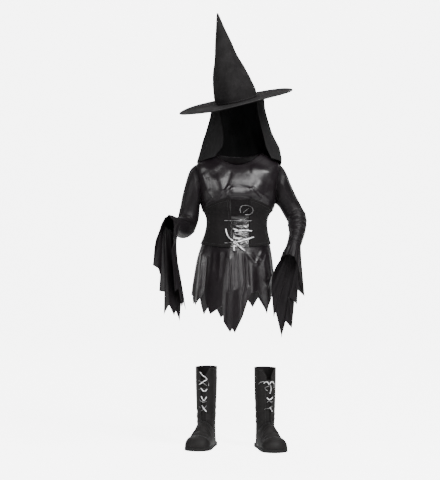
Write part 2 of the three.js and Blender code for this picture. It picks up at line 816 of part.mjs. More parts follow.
// Half width and height of the foot's arched sections, by distance in front of the ankle.
const FOOT = table(
  "y half top",
  [20, 36.5, 94],
  [45, 39, 82],
  [75, 42, 63],
  [104, 44, 50],
  [148, 42, 44],
);
const arch = (u) => Math.cos(rad(u * 90)) ** 0.75; // the section's rise over its width

function vamp() {
  const clear = SEAM + STIFF + 0.5; // between the shaft's outer skin and the vamp's edge
  const [throat, least] = [26, 6]; // where the sections start, and the nearest the edge comes
  const end = 0.98;
  const surface = (u, v) => {
    const section = smooth(FOOT, lerp(throat, BOOT.seam - SEAM, v));
    const x = section.half * Math.sin(rad(u * 90));
    const rise = (arch(u) - arch(end)) / (1 - arch(end));
    const z = BOOT.sole + SEAM + (section.top - BOOT.sole) * rise;
    const ring = smooth(SHAFT, z);
    const side = Math.min(Math.abs(x) / (ring.half + clear), 1);
    const back = (ring.front + clear) * Math.sqrt(1 - side ** 2);
    return point(x, -lerp(Math.max(back, least), BOOT.seam - SEAM, v), z);
  };
  return wall(surface, steps(-end, end, 12), steps(0, 1, 4), STIFF, point(0, -60, 20));
}

function toeCap() {
  const section = smooth(FOOT, BOOT.seam);
  const reach = BOOT.toe - BOOT.seam;
  const wider = 0.6; // than the vamp at the seam
  const surface = (u, v) => {
    const turn = rad(90 * v);
    const far = lerp(reach, section.top - BOOT.sole, Math.max(v, 0) ** 1.4) * arch(u);
    const x = (section.half + wider) * Math.sin(rad(u * 90));
    return point(x, -BOOT.seam - far * Math.cos(turn), BOOT.sole + SEAM + far * Math.sin(turn));
  };
  return wall(surface, steps(-0.96, 0.96, 10), steps(0, 1, 4), STIFF, point(0, -BOOT.seam, BOOT.sole + 5));
}

const OUTLINE = table(
  "y half",
  [-55, 13],
  [-46, 24],
  [-30, 32],
  [-5, 35.5],
  [35, 39],
  [70, 43.5],
  [104, 46],
  [128, 41],
  [143, 28],
  [151, 11],
);

function sole() {
  const shape = new THREE.Shape();
  const right = OUTLINE.map(({ y, half }) => [half, -y]);
  const left = OUTLINE.map(({ y, half }) => [-half, -y]).reverse();
  shape.setFromPoints([...right, ...left].map(([x, y]) => new THREE.Vector2(x, y)));
  return new THREE.ExtrudeGeometry(shape, { depth: BOOT.sole, bevelEnabled: false });
}

// A point on the lace's way over the shaft's front.
const onShaft = (angle, z, lift) => shaftPoint(angle, z, BOOT_LACE / 2 - SEAM + lift);

// Two strands of the lace that cross over the shaft's slit.
function bootCross(low, high) {
  const reach = 22; // degrees to each side
  const [lift, rise] = [0.8, 1.6]; // off the shaft at the ends, and more in the middle
  const strand = (side) => {
    const at = (share) => {
      const angle = side * lerp(-reach, reach, share);
      return onShaft(angle, lerp(low, high, share), lift + rise * Math.sin(Math.PI * share));
    };
    return cord([0, 0.3, 0.5, 0.7, 1].map(at), BOOT_LACE, 4);
  };
  return joined(strand(1), strand(-1));
}

// The lace's two free ends above the top cross. On the right boot one lies along the slit's open
// top and the other hangs. On the left boot both are looped down beside the crosses.
const RIGHT_ENDS = {
  up: table(
    "angle z lift",
    [9, 244.5, 1.6],
    [-2, 246.5, 1.8],
    [-13, 250.5, 1.2],
    [-21, 258, 1],
    [-28, 266.5, 0.8],
  ),
  down: table("angle z lift", [29, 241, 0.8], [34, 234, 1.6], [37, 222, 1.2], [34, 206, 0.6]),
};
const LEFT_ENDS = {
  up: table(
    "angle z lift",
    [-20, 245, 1],
    [-38, 243, 0.8],
    [-54, 232, 0.8],
    [-58, 217, 0.8],
    [-46, 208, 0.8],
    [-34, 214, 0.8],
  ),
  down: table(
    "angle z lift",
    [12, 245.5, 1],
    [27, 241, 1],
    [34, 228, 0.8],
    [36, 212, 0.8],
    [32, 196, 0.8],
    [31, 186, 0.8],
  ),
};

const CROSSES = table("low high", [122, 146], [154, 178], [186, 210], [214, 236]);

function boot(name, x, y, yaw, ends) {
  const group = new THREE.Group();
  group.position.set(x, y, FLOOR);
  group.rotation.z = rad(yaw);
  costume.add(group);
  add(name + "_shaft", shaft(), "leather", group);
  add(name + "_tongue", tongue(), "leather", group);
  add(name + "_vamp", vamp(), "leather", group);
  add(name + "_toe_cap", toeCap(), "leather", group);
  add(name + "_sole", sole(), "rubber", group);
  CROSSES.forEach(({ low, high }, i) => {
    add(name + "_lace_cross_" + (i + 1), bootCross(low, high), "silver", group);
  });
  for (const [end, rows] of Object.entries(ends)) {
    const path = rows.map(({ angle, z, lift }) => onShaft(angle, z, lift));
    add(name + "_lace_end_" + end, cord(path, BOOT_LACE, path.length + 1), "silver", group);
  }
}

boot("boot_right", -110, 62, -15, RIGHT_ENDS);
boot("boot_left", 95, 24, 15, LEFT_ENDS);

export default costume;
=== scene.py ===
import bpy
import numpy as np
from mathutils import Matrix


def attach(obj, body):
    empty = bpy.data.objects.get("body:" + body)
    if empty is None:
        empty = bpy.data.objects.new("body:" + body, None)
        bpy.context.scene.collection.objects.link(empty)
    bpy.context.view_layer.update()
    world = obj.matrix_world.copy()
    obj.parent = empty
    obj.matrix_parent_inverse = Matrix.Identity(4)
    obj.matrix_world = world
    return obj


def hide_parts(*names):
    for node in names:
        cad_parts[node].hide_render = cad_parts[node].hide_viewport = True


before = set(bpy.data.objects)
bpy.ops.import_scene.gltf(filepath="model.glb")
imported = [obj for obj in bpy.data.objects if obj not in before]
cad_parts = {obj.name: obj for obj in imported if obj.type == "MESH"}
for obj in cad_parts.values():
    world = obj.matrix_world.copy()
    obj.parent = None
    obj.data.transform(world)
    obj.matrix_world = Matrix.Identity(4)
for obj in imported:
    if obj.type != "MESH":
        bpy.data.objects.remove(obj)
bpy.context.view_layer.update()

# Camera. It stands five metres in front, level with the belt, and looks straight at the costume
# through a long lens, so that the far side of the hat and the skirt is hardly drawn together.
view = bpy.data.cameras.new("view")
view.sensor_fit = "VERTICAL"
view.sensor_height = 36
view.lens = 108.4
camera = bpy.data.objects.new("view", view)
camera.location = (-0.062, -5.0, -0.267)
camera.rotation_euler = (np.pi / 2, 0, 0)
bpy.context.scene.collection.objects.link(camera)
bpy.context.scene.camera = camera

# Studio. A pale floor sweeps up into a pale wall, under soft lamps. The paper shows white to the
# camera and is greyer out in front, so that it throws little light back on to the black cloth.
FLOOR = -987
SWEEP_BEND = 2000


def quads(index, order=(0, 1, 2, 3)):
    """Four-sided faces over a grid of point numbers: each joins a point, the next in its row and the
    two below them, in the given order."""
    ends = [index[:-1, :-1], index[:-1, 1:], index[1:, 1:], index[1:, :-1]]
    return np.stack([ends[k] for k in order], -1).reshape(-1, 4)


def solid(name, points, faces, soft=True):
    """An object in metres from its points in millimetres, divided by 1000, and its faces."""
    mesh = bpy.data.meshes.new(name)
    mesh.from_pydata((np.asarray(points).reshape(-1, 3) / 1000).tolist(), [], faces)
    if soft:
        mesh.shade_smooth()
    piece = bpy.data.objects.new(name, mesh)
    bpy.context.scene.collection.objects.link(piece)
    return piece


class Shading:
    """The nodes of one material, with its colours and bumps placed by the object's own coordinates."""

    def __init__(self, name):
        """Makes the material and finds its shader."""
        self.material = bpy.data.materials.new(name)
        self.material.use_nodes = True
        self.tree = self.material.node_tree
        self.shader = self.tree.nodes["Principled BSDF"]
        self.place = self.node("TexCoord").outputs["Object"]

    def node(self, kind, vector=None, **values):
        """A node with its values set, which reads a vector."""
        made = self.tree.nodes.new("ShaderNode" + kind)
        for key, value in values.items():
            if hasattr(made, key):
                setattr(made, key, value)
            else:
                made.inputs[key.replace("_", " ")].default_value = value
        if vector is not None:
            self.tree.links.new(vector, made.inputs["Vector"])
        return made

    def noise(self, **values):
        """A noise in the object's coordinates."""
        return self.node("TexNoise", self.place, **values).outputs["Fac"]

    def coordinate(self, axis):
        """One of the object's own coordinates, in metres."""
        return self.node("SeparateXYZ", self.place).outputs[axis]

    def math(self, operation, first, second):
        """The product or the larger of two values, the second of which may be a number."""
        made = self.node("Math", operation=operation)
        self.tree.links.new(first, made.inputs[0])
        if isinstance(second, float):
            made.inputs[1].default_value = second
        else:
            self.tree.links.new(second, made.inputs[1])
        return made.outputs["Value"]

    def span(self, value, low, high, least=0.0, most=1.0):
        """Least plus the value's share of the way from low to high, times most less least."""
        made = self.node("MapRange", From_Min=low, From_Max=high, To_Min=least, To_Max=most)
        self.tree.links.new(value, made.inputs["Value"])
        return made.outputs["Result"]

    def blend(self, share, dark, light):
        """The dark colour plus a share of the step to the light one."""
        made = self.node("Mix", data_type="RGBA")
        made.inputs[6].default_value = (*dark, 1)
        made.inputs[7].default_value = (*light, 1)
        self.tree.links.new(share, made.inputs[0])
        return made.outputs[2]

    def bump(self, height, strength, distance, below=None):
        """Normals tilted by the slope of a height times its distance and strength, over a bump below."""
        made = self.node("Bump", Strength=strength, Distance=distance)
        self.tree.links.new(height, made.inputs["Height"])
        if below is not None:
            self.tree.links.new(below, made.inputs["Normal"])
        return made.outputs["Normal"]

    def surface(self, **inputs):
        """Gives the shader its inputs, as numbers or from other nodes, and returns the material."""
        for key, value in inputs.items():
            socket = self.shader.inputs[key.replace("_", " ")]
            if isinstance(value, bpy.types.NodeSocket):
                self.tree.links.new(value, socket)
            else:
                socket.default_value = value
        return self.material


bend = np.linspace(0, np.pi / 2, 17)[1:]
sweep_y = np.concatenate([np.linspace(-14000, 6000, 13), 6000 + SWEEP_BEND * np.sin(bend), [8000]])
sweep_z = np.concatenate([np.zeros(13), SWEEP_BEND * (1 - np.cos(bend)), [9000]]) + FLOOR
sweep_x = np.linspace(-14000, 14000, 7)
sweep = np.stack(np.broadcast_arrays(sweep_x, sweep_y[:, None], sweep_z[:, None]), -1)
sweep_index = np.arange(sweep.shape[0] * 7).reshape(-1, 7)
floor = solid("studio_floor", sweep, quads(sweep_index).tolist())
paper = Shading("studio_paper")
glow = paper.math("MULTIPLY", paper.node("LightPath").outputs["Is Camera Ray"], 5.0)
fade = paper.span(paper.coordinate("Y"), -2.6, -1.1, 0.2, 0.93)
floor.data.materials.append(
    paper.surface(Base_Color=fade, Roughness=0.9, Emission_Strength=glow, Emission_Color=(1, 1, 1, 1))
)

world = bpy.data.worlds.new("studio_sky")
world.use_nodes = True
world.node_tree.nodes["Background"].inputs["Color"].default_value = (1, 1, 1, 1)
world.node_tree.nodes["Background"].inputs["Strength"].default_value = 0.14
bpy.context.scene.world = world

# Each lamp: its place, the point that it faces, its width, height and power.
LAMPS = {
    "lamp_right": ((2.2, -2.4, 2.9), (0, 0, -0.2), 1.1, 1.4, 190),
    "lamp_left": ((-3.2, -1.9, 0.9), (0, 0, -0.3), 0.5, 1.8, 70),
    "lamp_front": ((0.3, -3.3, 2.7), (0, 0, -0.2), 0.6, 2.5, 180),
    "lamp_low": ((2.6, -3.6, 0.6), (0, 0, -0.3), 0.5, 0.8, 40),
    "lamp_back": ((-1.4, 3.2, 2.2), (0, 0, -0.2), 1.2, 1.2, 16),
    "lamp_belt": ((0.75, -3.4, 1.1), (0, 0, -0.25), 0.3, 0.45, 22),
    "lamp_wall": ((0, 3.0, 5.4), (0, 6.4, -0.2), 6.0, 1.5, 500),
}
for name, (place, aim, width, height, power) in LAMPS.items():
    lamp = bpy.data.lights.new(name, "AREA")
    lamp.shape = "RECTANGLE"
    lamp.size = width
    lamp.size_y = height
    lamp.energy = power
    stand = bpy.data.objects.new(name, lamp)
    stand.location = place
    toward = np.array(aim) - np.array(place)
    flat = np.hypot(toward[0], toward[1])
    stand.rotation_euler = (np.arctan2(flat, -toward[2]), 0, np.arctan2(-toward[0], toward[1]))
    bpy.context.scene.collection.objects.link(stand)

# Bodice. Two stretch satin panels, joined at the sides and the shoulders by narrow turned seams.
# It blouses a little over the belt, which pulls slanted creases into its front.
CLOTH = 1.4
INSIDE_BODICE = (0, 0, -100)
SEAM = 0.3
WAIST = -212
NECK = 34
SHOULDER = -6
ARMPIT = -142
ARMHOLE_IN = 22
# ring height, middle, half width, front depth, back depth, dip of the front, dip of the back
RINGS = np.array([
    [34, -2, 84, 48, 50, 44, 12], [17, -1, 116, 60, 62, 41, 14], [-6, 0, 143, 73, 73, 36, 14],
    [-45, 0, 145, 86, 82, 22, 8], [-95, 0, 138, 95, 84, 5, 0], [-130, 0, 131, 94, 80, 0, 0],
    [-158, -1, 125, 86, 75, 0, 0], [-174, -2, 112, 78, 70, 0, 0], [-190, -3, 105, 73, 67, 0, 0],
    [-212, -4, 103, 72, 67, 0, 0], [-245, -5, 108, 77, 76, 0, 0], [-284, -8, 119, 86, 90, 0, 0],
    [-330, -11, 129, 95, 101, 0, 0], [-390, -13, 136, 103, 108, 0, 0], [-450, -15, 141, 109, 113, 0, 0],
    [-600, -19, 151, 121, 125, 0, 0],
], float)


def sin(angle):
    """Sine of an angle in degrees."""
    return np.sin(np.radians(angle))


def cos(angle):
    """Cosine of an angle in degrees."""
    return np.cos(np.radians(angle))


def smooth(rows, value):
    """Rows read off at a value of their first column. Between two rows the curve is a cubic whose
    slope at a row is that of the line through its neighbours. Beyond the ends it runs straight on."""
    rows = rows[np.argsort(rows[:, 0])]
    keys, columns = rows[:, 0], rows[:, 1:]
    slope = np.empty_like(columns)
    slope[1:-1] = (columns[2:] - columns[:-2]) / (keys[2:] - keys[:-2])[:, None]
    slope[0] = (columns[1] - columns[0]) / (keys[1] - keys[0])
    slope[-1] = (columns[-1] - columns[-2]) / (keys[-1] - keys[-2])
    value = np.asarray(value, float)
    i = np.clip(np.searchsorted(keys, value, side="right"), 1, len(keys) - 1)
    span = (keys[i] - keys[i - 1])[..., None]
    t = (value - keys[i - 1])[..., None] / span
    s = np.clip(t, 0, 1)
    low, high = span * slope[i - 1], span * slope[i]
    curve = columns[i - 1] * (2 * s**3 - 3 * s**2 + 1) + low * (s**3 - 2 * s**2 + s)
    curve = curve + columns[i] * (3 * s**2 - 2 * s**3) + high * (s**3 - s**2)
    return curve + (t - s) * np.where(t < 0, low, high)


def dress(angle, z, lift=0.0):
    """Points of the dress. Each level is two half ellipses, front and back, whose height falls with
    the square of the cosine. The angle is counted from the middle of the front, and lift moves the
    point out from the cloth."""
    angle, z = np.broadcast_arrays(np.asarray(angle, float), np.asarray(z, float))
    mid, half, front, back, dip, back_dip = np.moveaxis(smooth(RINGS, z), -1, 0)
    s, c = sin(angle), cos(angle)
    depth = np.where(c > 0, front, back)
    out = np.stack([s / half, -c / depth, np.zeros_like(s)], -1)
    out /= np.linalg.norm(out, axis=-1, keepdims=True)
    at = np.stack([mid + half * s, -depth * c, z - np.where(c > 0, dip, back_dip) * c * c], -1)
    return at + out * np.asarray(lift, float)[..., None]


def edge_angle(z):
    """Angle of the bodice's edge. It is 90 at the side and shoulder seams, and less by a power of a
    sine along the armhole."""
    t = np.clip((z - ARMPIT) / (SHOULDER - ARMPIT), 0, 1)
    return 90 - ARMHOLE_IN * np.abs(np.sin(np.pi * t)) ** 0.8


def creases(angle, z):
    """Two slanted Gaussian ridges in the bodice's front, over the belt."""
    out = 0
    for at, lean in ((-13, -0.25), (14, 0.3)):
        height = -94 if at < 0 else -92
        across = (angle - at + (z - height) * lean) / 6
        out = out + 2.4 * np.exp(-(across**2) - ((z - height) / 16) ** 2)
    return out


def ridges(x, z, rows):
    """Sum of soft ridges. Each row gives a line's two ends, a width and a height: a point's share is
    the height times a Gaussian of its distance from the line over the width. A trough has a
    negative height."""
    x, z = np.asarray(x, float)[..., None], np.asarray(z, float)[..., None]
    x0, z0, x1, z1, width, height = np.array(rows, float).T
    along = ((x - x0) * (x1 - x0) + (z - z0) * (z1 - z0)) / ((x1 - x0) ** 2 + (z1 - z0) ** 2)
    t = np.clip(along, 0, 1)
    far = np.hypot(x - x0 - t * (x1 - x0), z - z0 - t * (z1 - z0))
    return (height * np.exp(-((far / width) ** 2))).sum(-1)


def rise(value, start, full):
    """Smooth step from 0 at start to 1 at full."""
    t = np.clip((np.asarray(value, float) - start) / (full - start), 0, 1)
    return t * t * (3 - 2 * t)


def facing(skin, inside=None, closed=False):
    """Unit normals of a grid of points: the cross product of its two directions, turned away from
    the inside point, or from each row's own middle. Gives the normals and the sign of the turn."""
    along = np.gradient(skin, axis=0)
    across = np.gradient(skin, axis=1)
    if closed:
        ends = (skin[:, 1] - skin[:, -2]) / 2
        across[:, 0], across[:, -1] = ends, ends
    out = np.cross(across, along)
    out /= np.maximum(np.linalg.norm(out, axis=-1, keepdims=True), 1e-9)
    middle = skin.mean(axis=1, keepdims=True) if inside is None else np.array(inside, float)
    sign = np.sign((out * (skin - middle)).sum())
    return out * sign, sign


def raised(skin, amount, inside=None, closed=False):
    """Moves each point of a grid out along its normal by an amount."""
    return skin + facing(skin, inside, closed)[0] * np.asarray(amount, float)[..., None]


def cloth(name, skin, wall, inside=None, closed=False):
    """A grid of points as a sheet of quads, with a wall added on its inner side. Its UVs are the
    sheet's own width and length in metres, so a weave keeps its size."""
    rows, columns = skin.shape[:2]
    count = columns - 1 if closed else columns
    index = np.arange(rows)[:, None] * count + np.arange(columns) % count
    grid = np.arange(rows * columns).reshape(rows, columns)
    turned = facing(skin, inside, closed)[1] < 0
    order = (3, 2, 1, 0) if turned else (0, 1, 2, 3)
    piece = solid(name, skin[:, :count], quads(index, order).tolist())
    width = np.linalg.norm(np.diff(skin, axis=1), axis=-1).mean(0)
    length = np.linalg.norm(np.diff(skin, axis=0), axis=-1).mean(1)
    u = np.insert(np.cumsum(width), 0, 0)
    v = np.insert(np.cumsum(length), 0, 0)
    flat = np.stack(np.broadcast_arrays(u, v[:, None]), -1).reshape(-1, 2) / 1000
    layer = piece.data.uv_layers.new(name="cut")
    layer.data.foreach_set("uv", flat[quads(grid, order).ravel()].astype(np.float32).ravel())
    thickness = piece.modifiers.new("wall", "SOLIDIFY")
    thickness.thickness = wall / 1000
    thickness.offset = -1
    thickness.use_quality_normals = True
    return piece


def fit(piece, material, node=None):
    """Gives a piece its material and its body, and hides the imported part that it stands for."""
    piece.data.materials.append(material)
    if node:
        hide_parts(node)
    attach(piece, "root")
    return piece


def stitches(name, path, slot, long=2.2, gap=1.1, thick=0.35):
    """A row of stitches along a path: each is a four-sided thread, thin at its two ends, and the
    threads lie one after the other at even distances."""
    ring = 4
    steps = np.linalg.norm(np.diff(path, axis=0), axis=-1)
    length = np.insert(np.cumsum(steps), 0, 0)
    start = np.arange(gap / 2, length[-1] - long, long + gap)
    at = np.array([-0.5, -0.3, 0.3, 0.5]) * long
    reach = start[:, None] + long / 2 + at
    middle = np.stack([np.interp(reach, length, path[:, k]) for k in range(3)], -1)
    along = middle[:, -1:] - middle[:, :1]
    along /= np.maximum(np.linalg.norm(along, axis=-1, keepdims=True), 1e-9)
    side = np.cross(along, (0.31, 0.9, 0.3))
    side /= np.linalg.norm(side, axis=-1, keepdims=True)
    other = np.cross(along, side)
    turn = np.arange(ring) * 2 * np.pi / ring
    radius = thick * np.array([0.35, 1, 1, 0.35])[None, :, None, None]
    circle = side[:, :, None] * np.cos(turn)[:, None] + other[:, :, None] * np.sin(turn)[:, None]
    points = (middle[:, :, None] + circle * radius).reshape(-1, 3)
    block = np.arange(4)[:, None] * ring + np.arange(ring + 1) % ring
    shift = np.arange(len(start))[:, None, None] * 4 * ring
    faces = (quads(block, (3, 2, 1, 0))[None] + shift).reshape(-1, 4).tolist()
    first = (np.arange(ring) + shift[:, 0]).tolist()
    last = (np.arange(4 * ring - 1, 3 * ring - 1, -1) + shift[:, 0]).tolist()
    return fit(solid(name, points, faces + first + last), THREAD)


def shiny_satin(name, dark, light, rough, crumple, weave=0.35, shine=0.38):
    """Black stretch satin: a colour that drifts between two near-blacks, a roughness that drifts
    with it, a fine cross weave, and soft crumples that break up the shine."""
    look = Shading(name)
    drift = look.noise(Scale=14.0, Detail=4.0, Roughness=0.55)
    stretched = look.node("Mapping", look.place, Scale=(1.5, 1.5, 0.75)).outputs["Vector"]
    crumples = look.node("TexNoise", stretched, Scale=38.0, Detail=3.0, Roughness=0.5, Distortion=0.6)
    flat = look.node("UVMap", uv_map="cut").outputs["UV"]
    warp = look.node("TexWave", flat, Scale=320.0, Distortion=0.4).outputs["Fac"]
    weft = look.node("TexWave", flat, Scale=320.0, Distortion=0.4, bands_direction="Y").outputs["Fac"]
    large = look.bump(crumples.outputs["Fac"], crumple, 0.006)
    look.surface(
        Base_Color=look.blend(drift, dark, light),
        Roughness=look.span(drift, 0.3, 0.7, *rough),
        Normal=look.bump(look.math("MAXIMUM", warp, weft), weave, 0.00012, large),
        Specular_IOR_Level=shine,
        Sheen_Weight=0.01,
        Sheen_Roughness=0.4,
    )
    return look


satin = shiny_satin("shiny_satin", (0.0036, 0.0025, 0.0032), (0.008, 0.0056, 0.0072), (0.28, 0.38), 0.12)
SATIN = satin.material
thread = Shading("black_thread")
twist = thread.node("TexWave", thread.place, Scale=900.0, Distortion=0.5, bands_direction="DIAGONAL")
tint = thread.blend(twist.outputs["Fac"], (0.008, 0.008, 0.009), (0.03, 0.03, 0.032))
THREAD = thread.surface(Base_Color=tint, Roughness=0.6)

# the belt's edges: height at the side and in front
CORSET = {"top": (-166, -122), "bottom": (-280, -293)}


def corset_edge(which, angle):
    """Height of the belt's top or bottom edge: from the side to the front with the square of the
    cosine, and level across the back."""
    share = np.maximum(cos(angle), 0) ** 2
    side, front = CORSET[which]
    return side + (front - side) * share


# lines across the front as seen from the front: x and z of both ends, width, height
BODICE_FRONT = [
    [-68, -66, -62, -92, 22, 5.0], [72, -70, 68, -94, 24, 4.5], [-28, -40, -44, -92, 8, -2.0],
    [38, -40, 52, -70, 10, -1.4], [60, -60, 104, -74, 11, -2.2], [-16, -110, 32, -110, 26, 8.5],
    [-100, -36, -62, -9, 10, 1.8], [-120, -48, -106, -92, 7, 2.4], [-104, -60, -98, -92, 6, 1.4],
    [-104, -102, -86, -122, 7, 2.0], [-32, -84, -60, -126, 4, 3.4], [-22, -92, -48, -128, 4, 2.8],
    [40, -94, 74, -126, 4, 3.4], [50, -90, 80, -114, 4, 2.2], [56, -24, 112, -40, 17, 4.2],
    [-80, -44, -116, -30, 9, -1.4], [112, -62, 96, -104, 8, 1.6], [82, -112, 104, -132, 7, 1.8],
    [-88, -128, -106, -146, 7, 1.8],
]
# the same on the back
BODICE_BACK = [
    [-92, -30, -60, -96, 9, 3.2], [92, -34, 62, -92, 9, 3.0], [-104, -70, -84, -124, 7, 3.0],
    [106, -66, 82, -128, 7, 3.0], [-50, -104, -26, -140, 6, 2.6], [48, -100, 30, -142, 6, 2.6],
    [-16, -60, -10, -132, 8, -2.4], [18, -64, 12, -136, 8, -2.2], [0, -120, 2, -158, 6, 2.2],
    [-74, -130, 70, -128, 8, 2.6], [-60, -26, 58, -22, 9, 1.6],
]


def bodice_skin(middle, rows, columns=121, levels=124):
    """Half of the bodice: rings from the waist to the neck, each between its two edges, raised by
    its creases above the belt."""
    z = np.linspace(WAIST, NECK, levels)[:, None]
    u = np.linspace(-1, 1, columns)
    seam = np.degrees(SEAM / 20 / smooth(RINGS, z)[..., 2])
    angle = middle + u * (edge_angle(z) - seam)
    skin = dress(angle, z, creases(angle, z) if middle == 0 else 0)
    turned = np.where(cos(angle) > 0, angle, 90)
    belt = corset_edge("top", turned)
    free = rise(skin[..., 2], belt + 1, belt + 14)
    border = 1 - np.abs(u) ** 8
    amount = ridges(skin[..., 0], skin[..., 2], rows) * free * border
    return raised(skin, amount, INSIDE_BODICE)


for side, middle, rows in (("front", 0, BODICE_FRONT), ("back", 180, BODICE_BACK)):
    skin = bodice_skin(middle, rows)
    bodice = cloth("bodice_" + side + "_cloth", skin, CLOTH, INSIDE_BODICE)
    fit(bodice, SATIN, "bodice_" + side)
    neck_row = raised(skin, 0.25, INSIDE_BODICE)[-5]
    stitches("bodice_" + side + "_neck_stitches", neck_row, "satin")

# Sleeves. Each is one tube of satin set into the armhole by a stitched seam, and wrinkled where it
# bends. The left one is ruched all down its lower half, which is turned inwards.
SLEEVE_TOP = 1.6
SLEEVE_END = 9.6
RING_STEP = 0.3
# row, outer side x y z, inner side x y z, half depth across them
SLEEVES = {
    "right": np.array([
        [0, -150, 3, -8, -129, 3, -146, 46], [1, -164, 3, -20, -131, 3, -149, 48],
        [2, -177, 2, -58, -131, 1, -153, 45], [3, -188, 0, -98, -132, -1, -162, 41],
        [4, -197, -3, -138, -133, -3, -176, 38], [5, -203, -9, -168, -136, -5, -198, 37],
        [6, -209, -20, -196, -145, -14, -226, 40], [7, -219, -46, -208, -153, -40, -240, 39],
        [8, -229, -84, -207, -166, -78, -237, 31], [9, -243, -128, -201, -186, -122, -227, 25],
        [10, -253, -160, -195, -200, -155, -219, 23],
    ], float),
    "left": np.array([
        [0, 152, 3, -8, 132, 3, -142, 46], [1, 164, 4, -24, 134, 4, -144, 47],
        [2, 178, 5, -66, 138, 4, -148, 43], [3, 194, 6, -102, 145, 4, -156, 39],
        [4, 209, 6, -132, 153, 3, -170, 36], [5, 224, 4, -158, 163, 0, -188, 35],
        [6, 235, -8, -184, 171, -12, -204, 37], [7, 235, -34, -212, 172, -38, -224, 34],
        [8, 229, -62, -240, 173, -66, -246, 29], [9, 219, -90, -268, 167, -94, -272, 27],
        [10, 208, -116, -296, 158, -118, -298, 26],
    ], float),
}
SIDES = {"right": -1, "left": 1}


def sleeve_ring(side, angle, v):
    """Points of a sleeve: an ellipse between the table's outer and inner side, as deep as the
    table's last column, square to the sleeve's middle line. Angle 0 is its inner side."""
    rows = SLEEVES[side]
    angle, v = np.broadcast_arrays(np.asarray(angle, float), np.asarray(v, float))
    ring = smooth(rows, v)
    outer, inner, deep = ring[..., 0:3], ring[..., 3:6], ring[..., 6:]
    before, after = smooth(rows, v - RING_STEP), smooth(rows, v + RING_STEP)
    along = after[..., 0:3] + after[..., 3:6] - before[..., 0:3] - before[..., 3:6]
    along /= np.linalg.norm(along, axis=-1, keepdims=True)
    outward = (outer - inner) / 2
    across = np.cross(outward, along)
    across *= -SIDES[side] * deep / np.linalg.norm(across, axis=-1, keepdims=True)
    turn = np.radians(angle)[..., None]
    return (outer + inner) / 2 - outward * np.cos(turn) + across * np.sin(turn)


def armhole(side, angle):
    """The seam round the armhole, up the front from the armpit to the shoulder and down the back."""
    turn = angle % 360
    front = turn <= 180
    t = np.where(front, turn / 180, 2 - turn / 180)
    z = ARMPIT + (SHOULDER - ARMPIT) * t
    edge = edge_angle(z)
    return dress(SIDES[side] * np.where(front, edge, 180 - edge), z)


# lines on the unrolled sleeve: angle times 0.7 and row times 34 at both ends, width, height
MM_PER_DEGREE = 0.7
MM_PER_ROW = 34
SLEEVE_LINES = {
    "right": [
        [118, 30, 112, 140, 4, 2.6], [104, 40, 98, 150, 4, 2.4], [90, 55, 86, 165, 4, 2.2],
        [76, 20, 70, 90, 5, 1.8], [132, 60, 128, 150, 5, -1.6], [50, 180, 96, 196, 5, 3.0],
        [60, 200, 104, 208, 5, 2.6], [36, 196, 84, 222, 5, -2.4], [110, 186, 140, 210, 5, 2.4],
        [20, 214, 60, 216, 5, 2.2], [66, 232, 100, 262, 5, 2.0], [40, 240, 58, 300, 5, 1.8],
        [150, 200, 200, 216, 6, 2.6], [170, 180, 214, 196, 6, 2.4], [186, 60, 180, 150, 6, 2.4],
        [160, 90, 152, 170, 6, 2.0], [214, 40, 206, 130, 6, 2.2], [230, 210, 246, 222, 5, 2.4],
        [160, 250, 190, 300, 6, 2.0],
    ],
    "left": [
        [70, 30, 76, 120, 5, 2.2], [96, 44, 92, 130, 5, 2.0], [44, 24, 52, 90, 5, 1.8],
        [120, 60, 118, 150, 6, 1.8], [40, 190, 100, 184, 4.5, 3.0], [54, 206, 112, 200, 4.5, 3.0],
        [44, 222, 96, 216, 4.5, 2.8], [70, 234, 124, 226, 4.5, 2.6], [40, 240, 84, 244, 4.5, 2.6],
        [76, 252, 122, 246, 4, 2.6], [44, 260, 94, 264, 4, 2.4], [66, 276, 118, 270, 4, 2.6],
        [40, 284, 88, 290, 4, 2.2], [74, 300, 116, 296, 4, 2.2], [46, 312, 90, 312, 4, 2.0],
        [150, 196, 210, 190, 5, 2.8], [160, 216, 214, 222, 5, 2.6], [150, 240, 200, 236, 5, 2.4],
        [170, 262, 220, 268, 5, 2.4], [150, 284, 204, 290, 5, 2.2], [186, 60, 180, 150, 6, 2.4],
        [214, 40, 206, 130, 6, 2.2], [10, 200, 30, 204, 5, -2.2], [234, 220, 250, 226, 5, 2.2],
    ],
}
# The sleeves' satin is the same cloth, stretched less, and shines less.
SLACK_SATIN = shiny_satin(
    "slack_satin", (0.0036, 0.0028, 0.0033), (0.0075, 0.006, 0.007), (0.4, 0.52), 0.2, shine=0.15
).material
SLEEVE_RELIEF = 0.8
for side in SIDES:
    angle = np.linspace(0, 360, 109)
    v = np.concatenate([np.linspace(0, 1.8, 18)[:-1], np.linspace(1.8, SLEEVE_END, 116)])[:, None]
    share = rise(v, 0, SLEEVE_TOP)[..., None]
    skin = armhole(side, angle) * (1 - share) + sleeve_ring(side, angle, np.maximum(v, 0)) * share
    free = rise(v, 0, 0.5) * rise(SLEEVE_END - v, 0, 0.5)
    x, z = angle * MM_PER_DEGREE, v * MM_PER_ROW
    around = 360 * MM_PER_DEGREE
    lines = np.array(SLEEVE_LINES[side], float) * [1, 1, 1, 1, 1, SLEEVE_RELIEF]
    amount = ridges(x, z, lines) + ridges(x - around, z, lines) + ridges(x + around, z, lines)
    skin = raised(skin, amount * free, None, True)
    sleeve = cloth("sleeve_" + side + "_cloth", skin, CLOTH, None, True)
    fit(sleeve, SLACK_SATIN, "sleeve_" + side)
    seam_path = raised(skin, 0.3, None, True)[3]
    stitches("sleeve_" + side + "_seam_stitches", seam_path, "satin")

